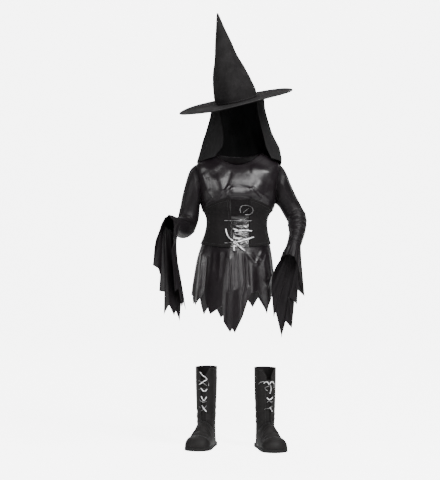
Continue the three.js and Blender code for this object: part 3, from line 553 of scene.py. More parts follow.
# Hanging cuffs. A wide tube of satin is sewn to each sleeve's end and falls from there in loose
# folds. Its mouth is cut into long raw points.
CUFF_GAP = 0.03
CUFF_FOLLOW = 60
CUFF_BELLY = 0.07
CUFFS = {
    "right": np.array([
        [0, -222, -204, -300], [20, -216, -206, -262], [45, -212, -208, -222], [68, -219, -209, -196],
        [90, -233, -210, -183], [120, -247, -213, -196], [145, -259, -214, -226],
        [165, -272, -214, -264], [180, -281, -212, -302], [192, -287, -210, -350],
        [200, -268, -204, -362], [207, -258, -201, -392], [215, -263, -199, -436],
        [222, -243, -193, -440], [231, -249, -190, -515], [240, -233, -180, -484],
        [248, -216, -168, -519], [254, -210, -160, -503], [263, -198, -148, -538],
        [273, -192, -138, -454], [285, -177, -126, -502], [297, -181, -146, -462],
        [309, -190, -166, -490], [320, -200, -182, -428], [333, -212, -194, -438],
        [346, -214, -200, -366], [360, -222, -204, -300],
    ], float),
    "left": np.array([
        [0, 142, -138, -330], [30, 146, -150, -322], [60, 157, -158, -316], [90, 172, -162, -314],
        [115, 188, -157, -324], [138, 200, -148, -346], [154, 212, -134, -402], [163, 203, -129, -404],
        [172, 222, -124, -456], [182, 195, -119, -430], [192, 198, -117, -484], [202, 171, -111, -458],
        [214, 180, -105, -564], [226, 160, -98, -542], [238, 148, -92, -598], [250, 137, -85, -552],
        [263, 127, -80, -512], [276, 121, -80, -530], [289, 115, -84, -468], [304, 112, -91, -440],
        [320, 114, -103, -400], [340, 123, -121, -360], [360, 142, -138, -330],
    ], float),
}


def finer(rows, parts):
    """A table's first column with each step between two rows divided into equal parts."""
    count = len(rows)
    return np.interp(np.linspace(0, count - 1, parts * (count - 1) + 1), np.arange(count), rows[:, 0])


for side in SIDES:
    rows = CUFFS[side]
    spread = finer(rows, 5)
    v = np.linspace(0, 1, 80)[:, None]
    start = sleeve_ring(side, spread, SLEEVE_END + CUFF_GAP)
    onward = start - sleeve_ring(side, spread, SLEEVE_END - RING_STEP)
    onward /= np.linalg.norm(onward, axis=-1, keepdims=True)
    mouth = np.stack([np.interp(spread, rows[:, 0], rows[:, k]) for k in (1, 2, 3)], -1)
    fall = v[..., None]
    skin = start * (1 - fall) + mouth * fall + onward * CUFF_FOLLOW * fall * (1 - fall) ** 3
    wave = 5 * sin(spread * 5 + 40)
    skin[..., 1] += (CUFF_BELLY * np.maximum(start[:, 2] - mouth[:, 2], 0) + wave) * v * (1 - v)
    swell = 0.5 + 0.5 * sin(spread * 2 + 70)
    fine = 2.4 * swell * sin(spread * 7 + 40 * np.sin(3 * v))
    fine = fine + 1.2 * (1 - swell) * sin(spread * 13 + 60 * v)
    skin = raised(skin, fine * rise(v, 0.02, 0.4), None, True)
    cuff = cloth("cuff_" + side + "_cloth", skin, CLOTH, None, True)
    fit(cuff, SLACK_SATIN, "cuff_" + side)

# Skirt. Two flared satin panels are sewn to the waist seam and to each other at the sides. They hang
# in soft unpressed folds, and the raw hem is cut into uneven points.
FRONT_HEM = np.array([
    [-90, -452], [-72, -462], [-65, -491], [-56, -476], [-46, -447], [-32, -519], [-15.5, -490],
    [-13, -543], [-3.5, -578], [-1, -567], [2.5, -581], [9, -543], [13, -521], [19, -475],
    [24, -447], [36, -440], [50, -498], [65, -447], [80, -438], [90, -452],
], float)
BACK_HEM = np.array([
    [90, -452], [104, -490], [114, -462], [128, -525], [142, -470], [152, -505], [160, -478],
    [174, -548], [186, -512], [196, -543], [210, -474], [222, -530], [236, -462], [248, -490],
    [258, -458], [270, -452],
], float)
INSIDE_SKIRT = (0, 0, -330)
SIDE_SHARE = 1 - 0.1 * SEAM / 170
# angle, width, height
FOLDS = np.array([
    [-84, 9, 5], [-58, 8, 7], [-37, 9, 5], [-9, 6, 7], [8, 6, 6], [25, 7, 6], [54, 11, 8],
    [80, 8, 5], [104, 10, 7], [130, 9, 8], [155, 9, 6], [178, 10, 8], [202, 9, 7], [226, 10, 8],
    [250, 9, 6],
], float)


def folds(angle, z):
    """Gaussian folds round the skirt that grow smoothly from the belt to the hem."""
    off = (np.asarray(angle, float)[..., None] - FOLDS[:, 0] + 180) % 360 - 180
    return (FOLDS[:, 2] * np.exp(-((off / FOLDS[:, 1]) ** 2))).sum(-1) * rise(-z, 250, 470)


# lines on the front and on the back as x and z of both ends, width, height
SKIRT_FRONT = [
    [-124, -316, -132, -430, 5, 3.2], [-108, -330, -116, -440, 4, -2.2], [-28, -330, -31, -440, 5, 3.4],
    [-3, -306, 2, -430, 3.5, 3.0], [-12, -310, -12, -430, 3.5, -2.0], [16, -312, 24, -440, 3.5, 2.8],
    [28, -306, 36, -420, 4, -2.0], [18, -300, 62, -350, 5, 3.2], [40, -296, 70, -330, 4, -2.4],
    [84, -300, 60, -346, 4, 3.4], [96, -306, 76, -352, 3.5, -2.2], [84, -340, 96, -390, 12, 4.5],
    [104, -318, 112, -388, 3.5, 3.2], [112, -388, 98, -430, 3.5, 2.6], [-62, -310, -66, -400, 5, 2.2],
    [-84, -306, -88, -370, 5, 1.8], [-44, -306, -50, -380, 4, -1.6],
]
SKIRT_BACK = [
    [-100, -316, -112, -430, 6, 3.0], [-70, -300, -76, -420, 5, 2.6], [-40, -300, -44, -440, 6, 3.0],
    [-10, -296, -8, -430, 5, 2.4], [22, -298, 28, -440, 6, 2.8], [54, -300, 62, -420, 5, 2.6],
    [88, -304, 98, -430, 6, 3.0], [4, -300, 44, -350, 4, 2.2], [-26, -300, -62, -352, 4, 2.2],
]
for side, hem, lines in (("front", FRONT_HEM, SKIRT_FRONT), ("back", BACK_HEM, SKIRT_BACK)):
    spread = finer(hem, 8)
    v = np.linspace(0, 1, 96)[:, None]
    z = (WAIST - SEAM) * (1 - v) + np.interp(spread, hem[:, 0], hem[:, 1]) * v
    middle = (hem[0, 0] + hem[-1, 0]) / 2
    angle = middle + (spread - middle) * SIDE_SHARE
    skin = dress(angle, z, folds(angle, z))
    free = rise(-z, 296, 318)
    ripple = 1.2 * sin(7.3 * angle) + 0.8 * sin(13.7 * angle + 50)
    amount = ridges(skin[..., 0], skin[..., 2], lines) + ripple * rise(-z, 340, 470)
    skin = raised(skin, amount * free * (1 - np.abs((spread - middle) / 90) ** 12), INSIDE_SKIRT)
    skirt = cloth("skirt_" + side + "_cloth", skin, CLOTH, INSIDE_SKIRT)
    fit(skirt, SATIN, "skirt_" + side)

# Corset belt. Matte black panels with turned, topstitched edges lie over the waist seam. The strip
# between the two front panels is a glossy wet-look cloth that puckers under the lace.
STIFF = 1.8
# length and gap of the belt's stitches
BELT_STITCH = (2.6, 1.2)
INSIDE_BELT = (0, 0, -200)
UNDER = 1.2
EDGE_FLARE = 1.2
LACING = {"left": -26, "right": 38}
SIDE_GAP = 0.12


def belt_lift(thick, v):
    """Lift of a belt piece's outer skin: its top and bottom edges stand off a little more."""
    return UNDER + thick + EDGE_FLARE * np.abs(2 * v - 1) ** 3


def angle_at(x, z):
    """Angle of the dress's front at a distance from the middle."""
    ring = smooth(RINGS, z)
    return np.degrees(np.arcsin((x - ring[..., 0]) / ring[..., 1]))


def matte_cloth(name, dark, light, scale):
    """Matte black twill: fine slanted ribs in the weave, a colour that drifts, and a little lint."""
    look = Shading(name)
    drift = look.noise(Scale=22.0, Detail=5.0, Roughness=0.6)
    flat = look.node("UVMap", uv_map="cut").outputs["UV"]
    rib = look.node("TexWave", flat, Scale=scale, Distortion=0.6, bands_direction="DIAGONAL").outputs["Fac"]
    return look.surface(
        Base_Color=look.blend(drift, dark, light),
        Normal=look.bump(rib, 0.5, 0.00025),
        Roughness=0.8,
        Specular_IOR_Level=0.14,
        Sheen_Weight=0.015,
    )


MATTE = matte_cloth("matte_twill", (0.003, 0.0026, 0.0027), (0.0075, 0.0064, 0.0066), 240.0)
BELT_LINES = {
    "front_right": [
        [-70, -150, -66, -270, 8, 1.0], [-96, -196, -44, -204, 6, 0.8], [-94, -214, -40, -222, 5, -0.7],
        [-90, -238, -46, -232, 6, 0.7],
    ],
    "front_left": [
        [66, -150, 62, -270, 8, 1.0], [94, -196, 52, -206, 6, 0.8], [92, -216, 50, -224, 5, -0.7],
        [90, -240, 56, -232, 6, 0.7],
    ],
    "back": [
        [-60, -170, -56, -276, 8, 1.0], [60, -170, 56, -276, 8, 1.0], [-90, -200, -20, -208, 6, 0.9],
        [90, -204, 20, -212, 6, 0.9], [-70, -226, 70, -224, 6, -0.8],
    ],
}
for side in ("front_right", "front_left", "back"):
    v = np.linspace(0, 1, 54)[:, None]
    u = np.linspace(0, 1, 70)
    if side == "back":
        angle = 90 + SIDE_GAP + u * (180 - 2 * SIDE_GAP)
        z = corset_edge("top", angle) * (1 - v) + corset_edge("bottom", angle) * v
        lift = folds(angle, z)
    else:
        flat = 90 * u
        level = corset_edge("top", flat) * (1 - v) + corset_edge("bottom", flat) * v
        low = angle_at(LACING["right"], level) if side == "front_left" else -90 + SIDE_GAP
        high = 90 - SIDE_GAP if side == "front_left" else angle_at(LACING["left"], level)
        angle = low + (high - low) * u
        z = corset_edge("top", angle) * (1 - v) + corset_edge("bottom", angle) * v
        lift = folds(angle, z) + creases(angle, z)
    edge = 0.5 * np.exp(-((v / 0.03) ** 2)) + 0.5 * np.exp(-(((1 - v) / 0.03) ** 2)) - 0.3
    skin = dress(angle, z, belt_lift(STIFF, v) + lift + edge)
    border = (1 - np.abs(2 * u - 1) ** 10) * (1 - np.abs(2 * v - 1) ** 10)
    skin = raised(skin, ridges(skin[..., 0], skin[..., 2], BELT_LINES[side]) * border, INSIDE_BELT)
    panel = cloth("corset_" + side + "_cloth", skin, STIFF - 0.3, INSIDE_BELT)
    fit(panel, MATTE, "corset_" + side)
    width, tall = {"front_right": (0.13, 0.17), "front_left": (0.11, 0.17), "back": (0.29, 0.13)}[side]
    over = raised(skin, 0.2, INSIDE_BELT)
    for where, path in (("top", over[3]), ("bottom", over[-4])):
        stitches("corset_" + side + "_" + where + "_stitches", path, "matte", *BELT_STITCH)
    if side != "back":
        inner = over[4:-4, 3 if side == "front_left" else -4]
        stitches("corset_" + side + "_edge_stitches", inner, "matte", *BELT_STITCH)

wet = shiny_satin("wet_look", (0.004, 0.0034, 0.0037), (0.009, 0.008, 0.0085), (0.17, 0.25), 0.2, 0.15)
# The strip is rubbed dull above the lace's row and keeps its gloss below it.
WET_LOOK = wet.surface(Specular_IOR_Level=wet.span(wet.coordinate("Z"), -0.198, -0.182, 0.9, 0.05))
STRIP_LINES = [
    [-10, -160, 34, -172, 4, 1.6], [-22, -186, 20, -190, 4, 1.8], [-4, -196, 34, -192, 3, -1.4],
    [-20, -212, 30, -208, 4, 1.6], [-8, -222, 36, -226, 3.5, 1.6], [-22, -230, 14, -244, 3.5, 1.6],
    [0, -250, 34, -240, 3.5, 1.6], [-20, -262, 18, -268, 4, 1.4], [6, -280, 34, -272, 4, 1.4],
    [6, -180, 10, -250, 12, 1.6],
]
strip_thick, clear = 1.1, 5 * SEAM
v = np.linspace(0, 1, 96)[:, None]
u = np.linspace(0, 1, 40)
top, bottom = CORSET["top"][1] - 8, CORSET["bottom"][1] + 1
z = top + (bottom - top) * v
x = LACING["left"] + clear + (LACING["right"] - LACING["left"] - 2 * clear) * u
angle = angle_at(x, z)
skin = dress(angle, z, belt_lift(strip_thick, v) + folds(angle, z) + creases(angle, z) - 0.4)
border = (1 - np.abs(2 * u - 1) ** 6) * (1 - np.abs(2 * v - 1) ** 12)
pucker = np.minimum(ridges(x, z, STRIP_LINES), 1.8)
skin = raised(skin, pucker * border, INSIDE_BELT)
strip = cloth("corset_strip_cloth", skin, strip_thick - 0.3, INSIDE_BELT)
fit(strip, WET_LOOK, "corset_strip")

# Corset lace. A silver-grey metallic cord of three twisted strands, in stretches across the strip,
# with a knot and four loose ends at the belt's lower edge.
LACE = 5.2
CORD_STEP = 0.95
CORD_SIDES = 24
LACE_ON = UNDER + STIFF + SEAM + LACE / 2


def on_corset(rows):
    """A path over the belt, from rows of x, z and the lift of the cord's middle line."""
    x, z, lift = np.array(rows, float).T
    angle = angle_at(x, z)
    return dress(angle, z, LACE_ON + folds(angle, z) + creases(angle, z) + lift)


def cord(name, path, across, lay=3.2):
    """A twisted cord: a smooth curve through the path, with a cross-section of three round lobes
    that turns once in a few diameters, and round closed ends."""
    steps = np.linalg.norm(np.diff(path, axis=0), axis=-1)
    key = np.insert(np.cumsum(steps), 0, 0)
    count = max(int(key[-1] / CORD_STEP), 12)
    s = np.linspace(0, key[-1], count)
    middle = smooth(np.column_stack([key, path]), s)
    along = np.gradient(middle, axis=0)
    along /= np.linalg.norm(along, axis=-1, keepdims=True)
    side = np.cross(along, (0.05, -1.0, 0.08))
    side /= np.linalg.norm(side, axis=-1, keepdims=True)
    other = np.cross(along, side)
    turn = np.linspace(0, 2 * np.pi, CORD_SIDES + 1)[:-1]
    lobes = 0.84 + 0.16 * np.abs(np.cos(1.5 * (turn - 2 * np.pi * s[:, None] / (lay * across))))
    end = np.minimum(s, key[-1] - s)
    round_off = np.sqrt(np.clip(1 - (1 - np.minimum(end / (across / 2), 1)) ** 2, 0.01, 1))
    radius = (across / 2 * lobes * round_off[:, None])[..., None]
    circle = side[:, None] * np.cos(turn)[:, None] + other[:, None] * np.sin(turn)[:, None]
    index = np.arange(count)[:, None] * CORD_SIDES + np.arange(CORD_SIDES + 1) % CORD_SIDES
    ends = [index[0, :-1].tolist(), index[-1, -2::-1].tolist()]
    return solid(name, middle[:, None] + radius * circle, quads(index, (0, 3, 2, 1)).tolist() + ends)


def metallic_cord(name, dark, light, least):
    """Silver-grey metallic thread: fine strands in the bump, and patches of colour from a noise: the light
    patches are painted highlights where the cord catches the light, and the dark ones are cord that has
    lost its shine."""
    look = Shading(name)
    strand = look.noise(Scale=900.0, Detail=3.0)
    # Painted highlight: the light end of this noise paints glints into the colour, and the dark end is worn
    # cord.
    highlight_and_wear_patch = look.span(look.noise(Scale=75.0, Detail=2.0), least, least + 0.22)
    return look.surface(
        Base_Color=look.blend(highlight_and_wear_patch, dark, light),
        Normal=look.bump(strand, 0.5, 0.0002),
        Metallic=0.35,
        Roughness=0.38,
    )


# The second cord is the same silver cord with its colour painted darker as painted shade, for the stretches
# that lie dim.
SILVER = metallic_cord("silver_cord", (0.3, 0.295, 0.3), (0.92, 0.92, 0.94), 0.36)
SHADED_SILVER = metallic_cord("painted_shade_silver_cord", (0.035, 0.034, 0.035), (0.24, 0.235, 0.24), 0.42)

STRETCHES = {
    "loop": [
        [8, -175, 0.3], [6, -160, 0.3], [14, -151, 0.3], [30, -150, 0.3],
        [46, -157, 0.5], [48, -170, 0.5], [38, -180, 1.1], [22, -181, 0.8],
    ],
    "bar": [[16, -174, 0.3], [26, -166, 0.5], [36, -158, 0.3]],
    "row": [[-46, -201, 0.8], [-20, -201, 0.8], [4, -202, 0.5], [26, -202, 0.9], [46, -201, 0.9]],
    "upper_cross": [[-12, -238, 0.3], [6, -235, 0.3], [24, -234.5, 0.3], [46, -236, 0.4]],
    "lower_cross": [[-12, -246, 0.3], [4, -249, 0.3], [18, -255, 0.3], [30, -259, 0.3]],
    "end_upper": [[-41, -228, 0.7], [-38, -243, 0.7], [-31, -258, 1.4], [-17.2, -269.6, 4.6]],
    "end_across": [[-3.4, -272.9, 4.6], [12, -269, 1.8], [32, -263, 1.2], [52, -257, 0.8]],
    "end_down": [[-11.9, -282.9, 4.6], [-14, -292, 1.8], [-14, -304, 1.2]],
    "end_slant": [[-5, -280.3, 4.6], [6, -291, 1.8], [22, -304, 1.4]],
    "side": [[-46, -277, 0.8], [-34, -276.6, 0.9], [-22, -276, 1.4]],
}
FULL = 4.6
# Stretches at least this thick take the lit silver, and thinner ones the silver painted darker as painted
# shade.
LIT_FROM = 3.4
THIN = {"loop": 3.2, "bar": 2.8, "row": 3.0, "upper_cross": 3.6, "lower_cross": 3.0, "side": 2.8}


def free_end(route, across, backwards=False):
    """Points along a cord's loose end, from its route in millimetres taken from the knot to its tip: 24
    points at even distances along it, in metres. They are not returned or used."""
    route = route[::-1] if backwards else route
    key = np.insert(np.cumsum(np.linalg.norm(np.diff(route, axis=0), axis=-1)), 0, 0)
    fine = smooth(np.column_stack([key, route]), np.linspace(0, key[-1], 24)) / 1000


for name, rows in STRETCHES.items():
    across = THIN.get(name, FULL)
    route = on_corset(np.array(rows) - [0, 0, (LACE - across) / 2])
    lace = cord("corset_lace_" + name + "_cord", route, across)
    node = None if name == "side" else "corset_lace_" + name
    fit(lace, SHADED_SILVER if across < LIT_FROM else SILVER, node)
    if name.startswith("end"):
        free_end(route, across, name == "end_upper")

# The knot is two turns of the cord wrapped over each other.
turn = np.linspace(0, 2 * np.pi * 1.9, 60)
centre = on_corset([[-11, -275, 4.6]])[0]
wrap = np.stack([4.2 * np.cos(turn), 2.0 * np.sin(2 * turn), 4.2 * np.sin(turn) * np.cos(0.5 * turn)], -1)
knot = cord("corset_lace_knot_cord", centre + wrap, LACE)
fit(knot, SILVER, "corset_lace_knot")

# Hat. A felt cone is sewn to a wide brim that waves a little, and stands tilted. The cone has soft
# dents, most of them on its left side, and the brim's edge is topstitched in two rows.
HAT = {"x": -5, "y": -8, "z": 215, "pitch": 10.7, "roll": 12.7, "brim": 197, "wall": 2}
# length, gap and thickness of the hat's stitches
FELT_STITCH = (3.2, 1.6, 0.45)
# height, half width, half depth, shift to the side
CONE = np.array([
    [0, 71, 88, 0], [25, 74, 90, -1], [90, 61, 72, -4], [158, 39, 45, -4], [197, 29, 33, -3],
    [250, 16.5, 18, -2], [304, 3, 3.2, 0],
], float)
pitch, roll = np.radians(HAT["pitch"]), np.radians(-HAT["roll"])
TILT = np.array([[np.cos(roll), 0, np.sin(roll)], [0, 1, 0], [-np.sin(roll), 0, np.cos(roll)]]) @ np.array(
    [[1, 0, 0], [0, np.cos(pitch), -np.sin(pitch)], [0, np.sin(pitch), np.cos(pitch)]]
)


def tilted(points):
    """Upright hat points times the tilt, forward and to the side, plus the hat's place."""
    return points @ TILT.T + [HAT["x"], HAT["y"], HAT["z"]]


def felt_cloth(name, dark, light):
    """Black-grey felt: matted short fibres in the colour and the bump, and a soft fuzz of sheen."""
    look = Shading(name)
    fibre = look.noise(Scale=420.0, Detail=6.0, Roughness=0.7, Distortion=1.2)
    blotch = look.noise(Scale=16.0, Detail=4.0, Roughness=0.6)
    return look.surface(
        Base_Color=look.blend(look.span(look.math("MULTIPLY", fibre, blotch), 0.12, 0.4), dark, light),
        Normal=look.bump(fibre, 0.55, 0.0006),
        Roughness=0.95,
        Specular_IOR_Level=0.02,
        Sheen_Weight=0.008,
        Sheen_Roughness=0.6,
    )


FELT = felt_cloth("hat_felt", (0.0075, 0.0071, 0.0072), (0.023, 0.0218, 0.0222))
# dents on the unrolled cone: angle and height of both ends, width, height
CONE_LINES = [
    [46, 60, 62, 110, 9, -2.6], [58, 96, 40, 140, 8, -2.2], [74, 40, 84, 90, 9, -2.0],
    [30, 120, 44, 170, 7, -1.6], [-40, 30, -30, 80, 10, -1.4], [120, 60, 132, 120, 10, -2.2],
    [168, 40, 160, 120, 10, -1.8], [214, 60, 222, 140, 10, -2.2], [262, 36, 270, 100, 10, -1.8],
]
angle = np.linspace(0, 360, 121)
z = np.concatenate([np.linspace(0, 290, 110), np.linspace(290, 306, 12)[1:]])[:, None]
half, deep, shift = np.moveaxis(smooth(CONE, z), -1, 0)
s, c = sin(angle), cos(angle)
TIP = 3
close = np.sqrt(np.clip(1 - np.maximum((z - 306 + TIP) / TIP, 0) ** 2, 0.004, 1))
cone = np.stack([shift + half * s * close, -deep * c * close, z + SEAM + 0 * s], -1)
turned = (angle + 180) % 360 - 180
dents = ridges(angle, z, CONE_LINES) + ridges(turned, z, CONE_LINES[:5])
wobble = 0.7 * np.sin(0.055 * z + np.radians(2 * angle)) * rise(z, 20, 80)
cone = raised(cone, (dents * rise(z, 4, 30) + wobble) * rise(300 - z, 0, 60), None, True)
hat_cone = cloth("hat_cone_felt", tilted(cone), HAT["wall"], None, True)
fit(hat_cone, FELT, "hat_cone")


def brim_skin(out, lift=0.0):
    """The brim: an ellipse that grows into a circle, on low waves that rise towards the rim."""
    angle = np.linspace(0, 360, 181)
    s, c = sin(angle), cos(angle)
    wave = 3 * sin(2 * angle + 20) + 2.5 * sin(3 * angle + 70) - 2
    wave = wave + 7 * np.exp(-(((angle - 305) / 28) ** 2))
    rim = HAT["brim"] + 6 * np.exp(-(((angle - 268) / 16) ** 2))
    wide = (CONE[0, 1] - HAT["wall"]) * (1 - out) + rim * out
    long = (CONE[0, 2] - HAT["wall"]) * (1 - out) + rim * out
    return tilted(np.stack([wide * s, -long * c, out**2 * wave + lift], -1))


skin = brim_skin(np.linspace(0, 1, 34)[:, None])
hat_brim = cloth("hat_brim_felt", skin, HAT["wall"], (0, 0, -500), True)
fit(hat_brim, FELT, "hat_brim")
for where, out in (("outer", 0.965), ("inner", 0.93)):
    row = brim_skin(np.array([[out]]), 0.25)[0]
    stitches("hat_brim_" + where + "_stitches", row, "felt", *FELT_STITCH)
half, deep, shift = smooth(CONE, 6.0)
angle = np.linspace(0, 360, 181)
s, c = sin(angle), cos(angle)
join = np.stack([shift + (half + 0.3) * s, -(deep + 0.3) * c, 6 + 0 * angle], -1)
stitches("hat_join_stitches", tilted(join), "felt", *FELT_STITCH)

# Veil. One sheet of soft matte black cloth is sewn under the brim. It falls to the shoulders of the
# dress and down its back, and is open in front.
# height, middle, half width, front depth, back depth, opening to the right and to the left
VEIL = np.array([
    [230, 1, 90, 62, 100, 46, 44], [180, 1, 94, 62, 104, 44, 45], [110, 2, 112, 56, 104, 29, 47],
    [80, 4, 124, 54, 102, 26, 45], [52, 8, 135, 52, 100, 28, 42], [28, 8, 141, 50, 99, 35, 46],
    [0, 7, 147, 50, 100, 40, 50], [-100, 4, 149, 50, 100, 40, 50],
], float)
VEIL_HEM = np.array([
    [0, 42], [20, 30], [45, 16], [60, 9], [75, 3], [100, -2], [125, -40], [150, -84], [180, -98],
    [210, -84], [235, -40], [260, -2], [285, 3], [300, 9], [315, 16], [340, 30], [360, 42],
], float)
VEIL_WALL = 1.2
VEIL_SINK = 2.2
INSIDE_VEIL = (0, 20, 60)


def veil_at(u, z):
    """A point of the veil at a share of its way round and a height: an ellipse between its two front
    edges, with waves that deepen downwards. Gives the point and its angle."""
    mid, half, front, back, right, left = np.moveaxis(smooth(VEIL, z), -1, 0)
    angle = (-360 + left) * (1 - u) - right * u
    s, c = sin(angle), cos(angle)
    wave = 2.5 * sin(angle * 7) * rise(-z, -170, 0)
    depth = np.where(c > 0, front, back) + wave
    return np.stack([mid + (half + wave) * s, -depth * c, z + 0 * s], -1), angle


def shoulder_top(x, y):
    """Height of the bodice's shoulder under a point: the highest ring that the point lies inside."""
    z = np.arange(NECK, -60, -0.5)
    mid, half, front, back, dip, back_dip = np.moveaxis(smooth(RINGS, z), -1, 0)
    s = (x[:, None] - mid) / half
    c = -y[:, None] / np.where(y[:, None] < 0, front, back)
    inside = s * s + c * c < 1
    height = z - np.where(y[:, None] < 0, dip, back_dip) * c * c
    first = np.argmax(inside, axis=1)
    return np.where(inside.any(1), height[np.arange(len(x)), first], -1000)


VEIL_COLUMNS = 190
u = np.linspace(0, 1, VEIL_COLUMNS)
up = TILT @ [0, 0, 1]
# The veil's top follows the brim's tilted underside, found in a few rounds.
top = np.full(VEIL_COLUMNS, float(HAT["z"]))
for _ in range(6):
    at, angle = veil_at(u, top)
    low = HAT["wall"] + SEAM + 0.4
    top = HAT["z"] - (up[0] * (at[:, 0] - HAT["x"]) + up[1] * (at[:, 1] - HAT["y"]) + low) / up[2]
hem = np.interp(-veil_at(u, np.zeros(VEIL_COLUMNS))[1], VEIL_HEM[:, 0], VEIL_HEM[:, 1])
at = veil_at(u, hem)[0]
hem = np.maximum(hem, shoulder_top(at[:, 0] * 0.97, at[:, 1] * 0.97) - VEIL_SINK)
v = np.linspace(0, 1, 84)[:, None]
skin, angle = veil_at(u, top * (1 - v) + hem * v)
ripple = 1.6 * sin(angle * 13 + 40 * v) + 1.0 * sin(angle * 22 - 60 * v)
skin = raised(skin, ripple * rise(v, 0.05, 0.5) * rise(1 - v, 0, 0.08), INSIDE_VEIL)
veil = cloth("veil_cloth", skin, VEIL_WALL, INSIDE_VEIL)
VEILING = matte_cloth("veil_crepe", (0.0045, 0.0045, 0.0046), (0.010, 0.0098, 0.010), 420.0)
fit(veil, VEILING, "veil")

# Boots. Soft imitation leather shafts with an open front over a tongue, a vamp, a toe cap and a
# rubber sole. The ankle is wrinkled, and the seams are stitched twice.
BOOT = {"height": 277, "dip": 34, "sole": 11, "toe": 148, "seam": 104, "slit": 15, "instep": 62}
# height, half width, front depth, back depth
SHAFT = np.array([
    [11.5, 29, 46, 51], [30, 31, 47, 52], [55, 31, 45, 48], [85, 31.5, 41, 43], [120, 33, 40, 42],
    [170, 35, 42, 46], [230, 36.5, 44, 50], [290, 37, 45, 51],
], float)
# distance in front of the ankle, half width, top
FOOT = np.array([[20, 36.5, 94], [45, 39, 82], [75, 42, 63], [104, 44, 50], [148, 42, 44]], float)
# distance in front of the ankle, half width
OUTLINE = np.array([
    [-55, 13], [-46, 24], [-30, 32], [-5, 35.5], [35, 39], [70, 43.5], [104, 46], [128, 41],
    [143, 28], [151, 11],
], float)
BOOT_STITCH = (2.4, 1.2)
VAMP_BACK = 26
ARCH = 0.75
INSIDE_SHAFT = (0, 0, 145)
SHAFT_MM_PER_DEGREE = 0.6
INSIDE_FOOT = (0, -60, 20)
BOOTS = {"right": (-110, 62, -15), "left": (95, 24, 15)}


def boot_place(side, points):
    """Stands points of a boot on the floor: turned by its angle, then moved to its place."""
    x, y, yaw = BOOTS[side]
    s, c = sin(yaw), cos(yaw)
    turn = np.array([[c, -s, 0], [s, c, 0], [0, 0, 1]])
    return points @ turn.T + [x, y, FLOOR]


def shaft_point(angle, z, lift=0.0):
    """Points of the shaft: two half ellipses at each level, moved out by lift."""
    angle, z = np.broadcast_arrays(np.asarray(angle, float), np.asarray(z, float))
    half, front, back = np.moveaxis(smooth(SHAFT, z), -1, 0)
    s, c = sin(angle), cos(angle)
    depth = np.where(c > 0, front, back)
    out = np.stack([s / half, -c / depth, np.zeros_like(s)], -1)
    out /= np.linalg.norm(out, axis=-1, keepdims=True)
    return np.stack([half * s, -depth * c, z], -1) + out * np.asarray(lift, float)[..., None]


def forward(angle):
    """Cosine of the angle from the front, or nought behind."""
    return np.maximum(cos(angle), 0)


def boot_leather(name, dark, light):
    """Soft black imitation leather: a pebbled grain, fine creases, and a shine that varies."""
    look = Shading(name)
    grain = look.node("TexVoronoi", look.place, Scale=520.0, feature="DISTANCE_TO_EDGE").outputs["Distance"]
    scuff = look.noise(Scale=30.0, Detail=6.0, Roughness=0.65)
    crease = look.noise(Scale=70.0, Detail=3.0, Distortion=1.5)
    return look.surface(
        Base_Color=look.blend(scuff, dark, light),
        Roughness=look.span(scuff, 0.3, 0.7, 0.46, 0.66),
        Normal=look.bump(grain, 0.4, 0.0002, look.bump(crease, 0.3, 0.002)),
        Specular_IOR_Level=0.12,
    )


def boot_piece(side, what, skin, inside):
    """A boot's sheet of imitation leather with its wall, from points placed by boot_place."""
    name = "boot_" + side + "_" + what
    piece = cloth(name + "_leather", boot_place(side, skin), STIFF, boot_place(side, np.array(inside)))
    return fit(piece, LEATHER, name)


def boot_stitches(side, skin, inside, rows):
    """Rows of stitches 0.15 mm over a boot's piece. Each row picks its points from the grid."""
    over = boot_place(side, raised(skin, 0.15, inside))
    for where, pick in rows.items():
        stitches("boot_" + side + "_" + where + "_stitches", over[pick], "leather", *BOOT_STITCH)


LEATHER = boot_leather("boot_leather", (0.0045, 0.0042, 0.0041), (0.0135, 0.0124, 0.0122))
rubber = Shading("sole_rubber")
dust = rubber.noise(Scale=60.0, Detail=6.0, Roughness=0.7)
RUBBER = rubber.surface(
    Base_Color=rubber.blend(dust, (0.003, 0.003, 0.003), (0.012, 0.012, 0.012)),
    Normal=rubber.bump(dust, 0.3, 0.0004),
    Specular_IOR_Level=0.25,
    Roughness=0.75,
)

# the sole's edge from the floor up: height and how far it draws in
PROFILE = np.array([
    [0, 1.4], [0.5, 0.5], [1.5, 0.1], [5.2, 0.1], [5.9, 0.8], [6.6, 0.1], [10.2, 0.1], [10.8, 0.5],
    [11, 1.2],
])
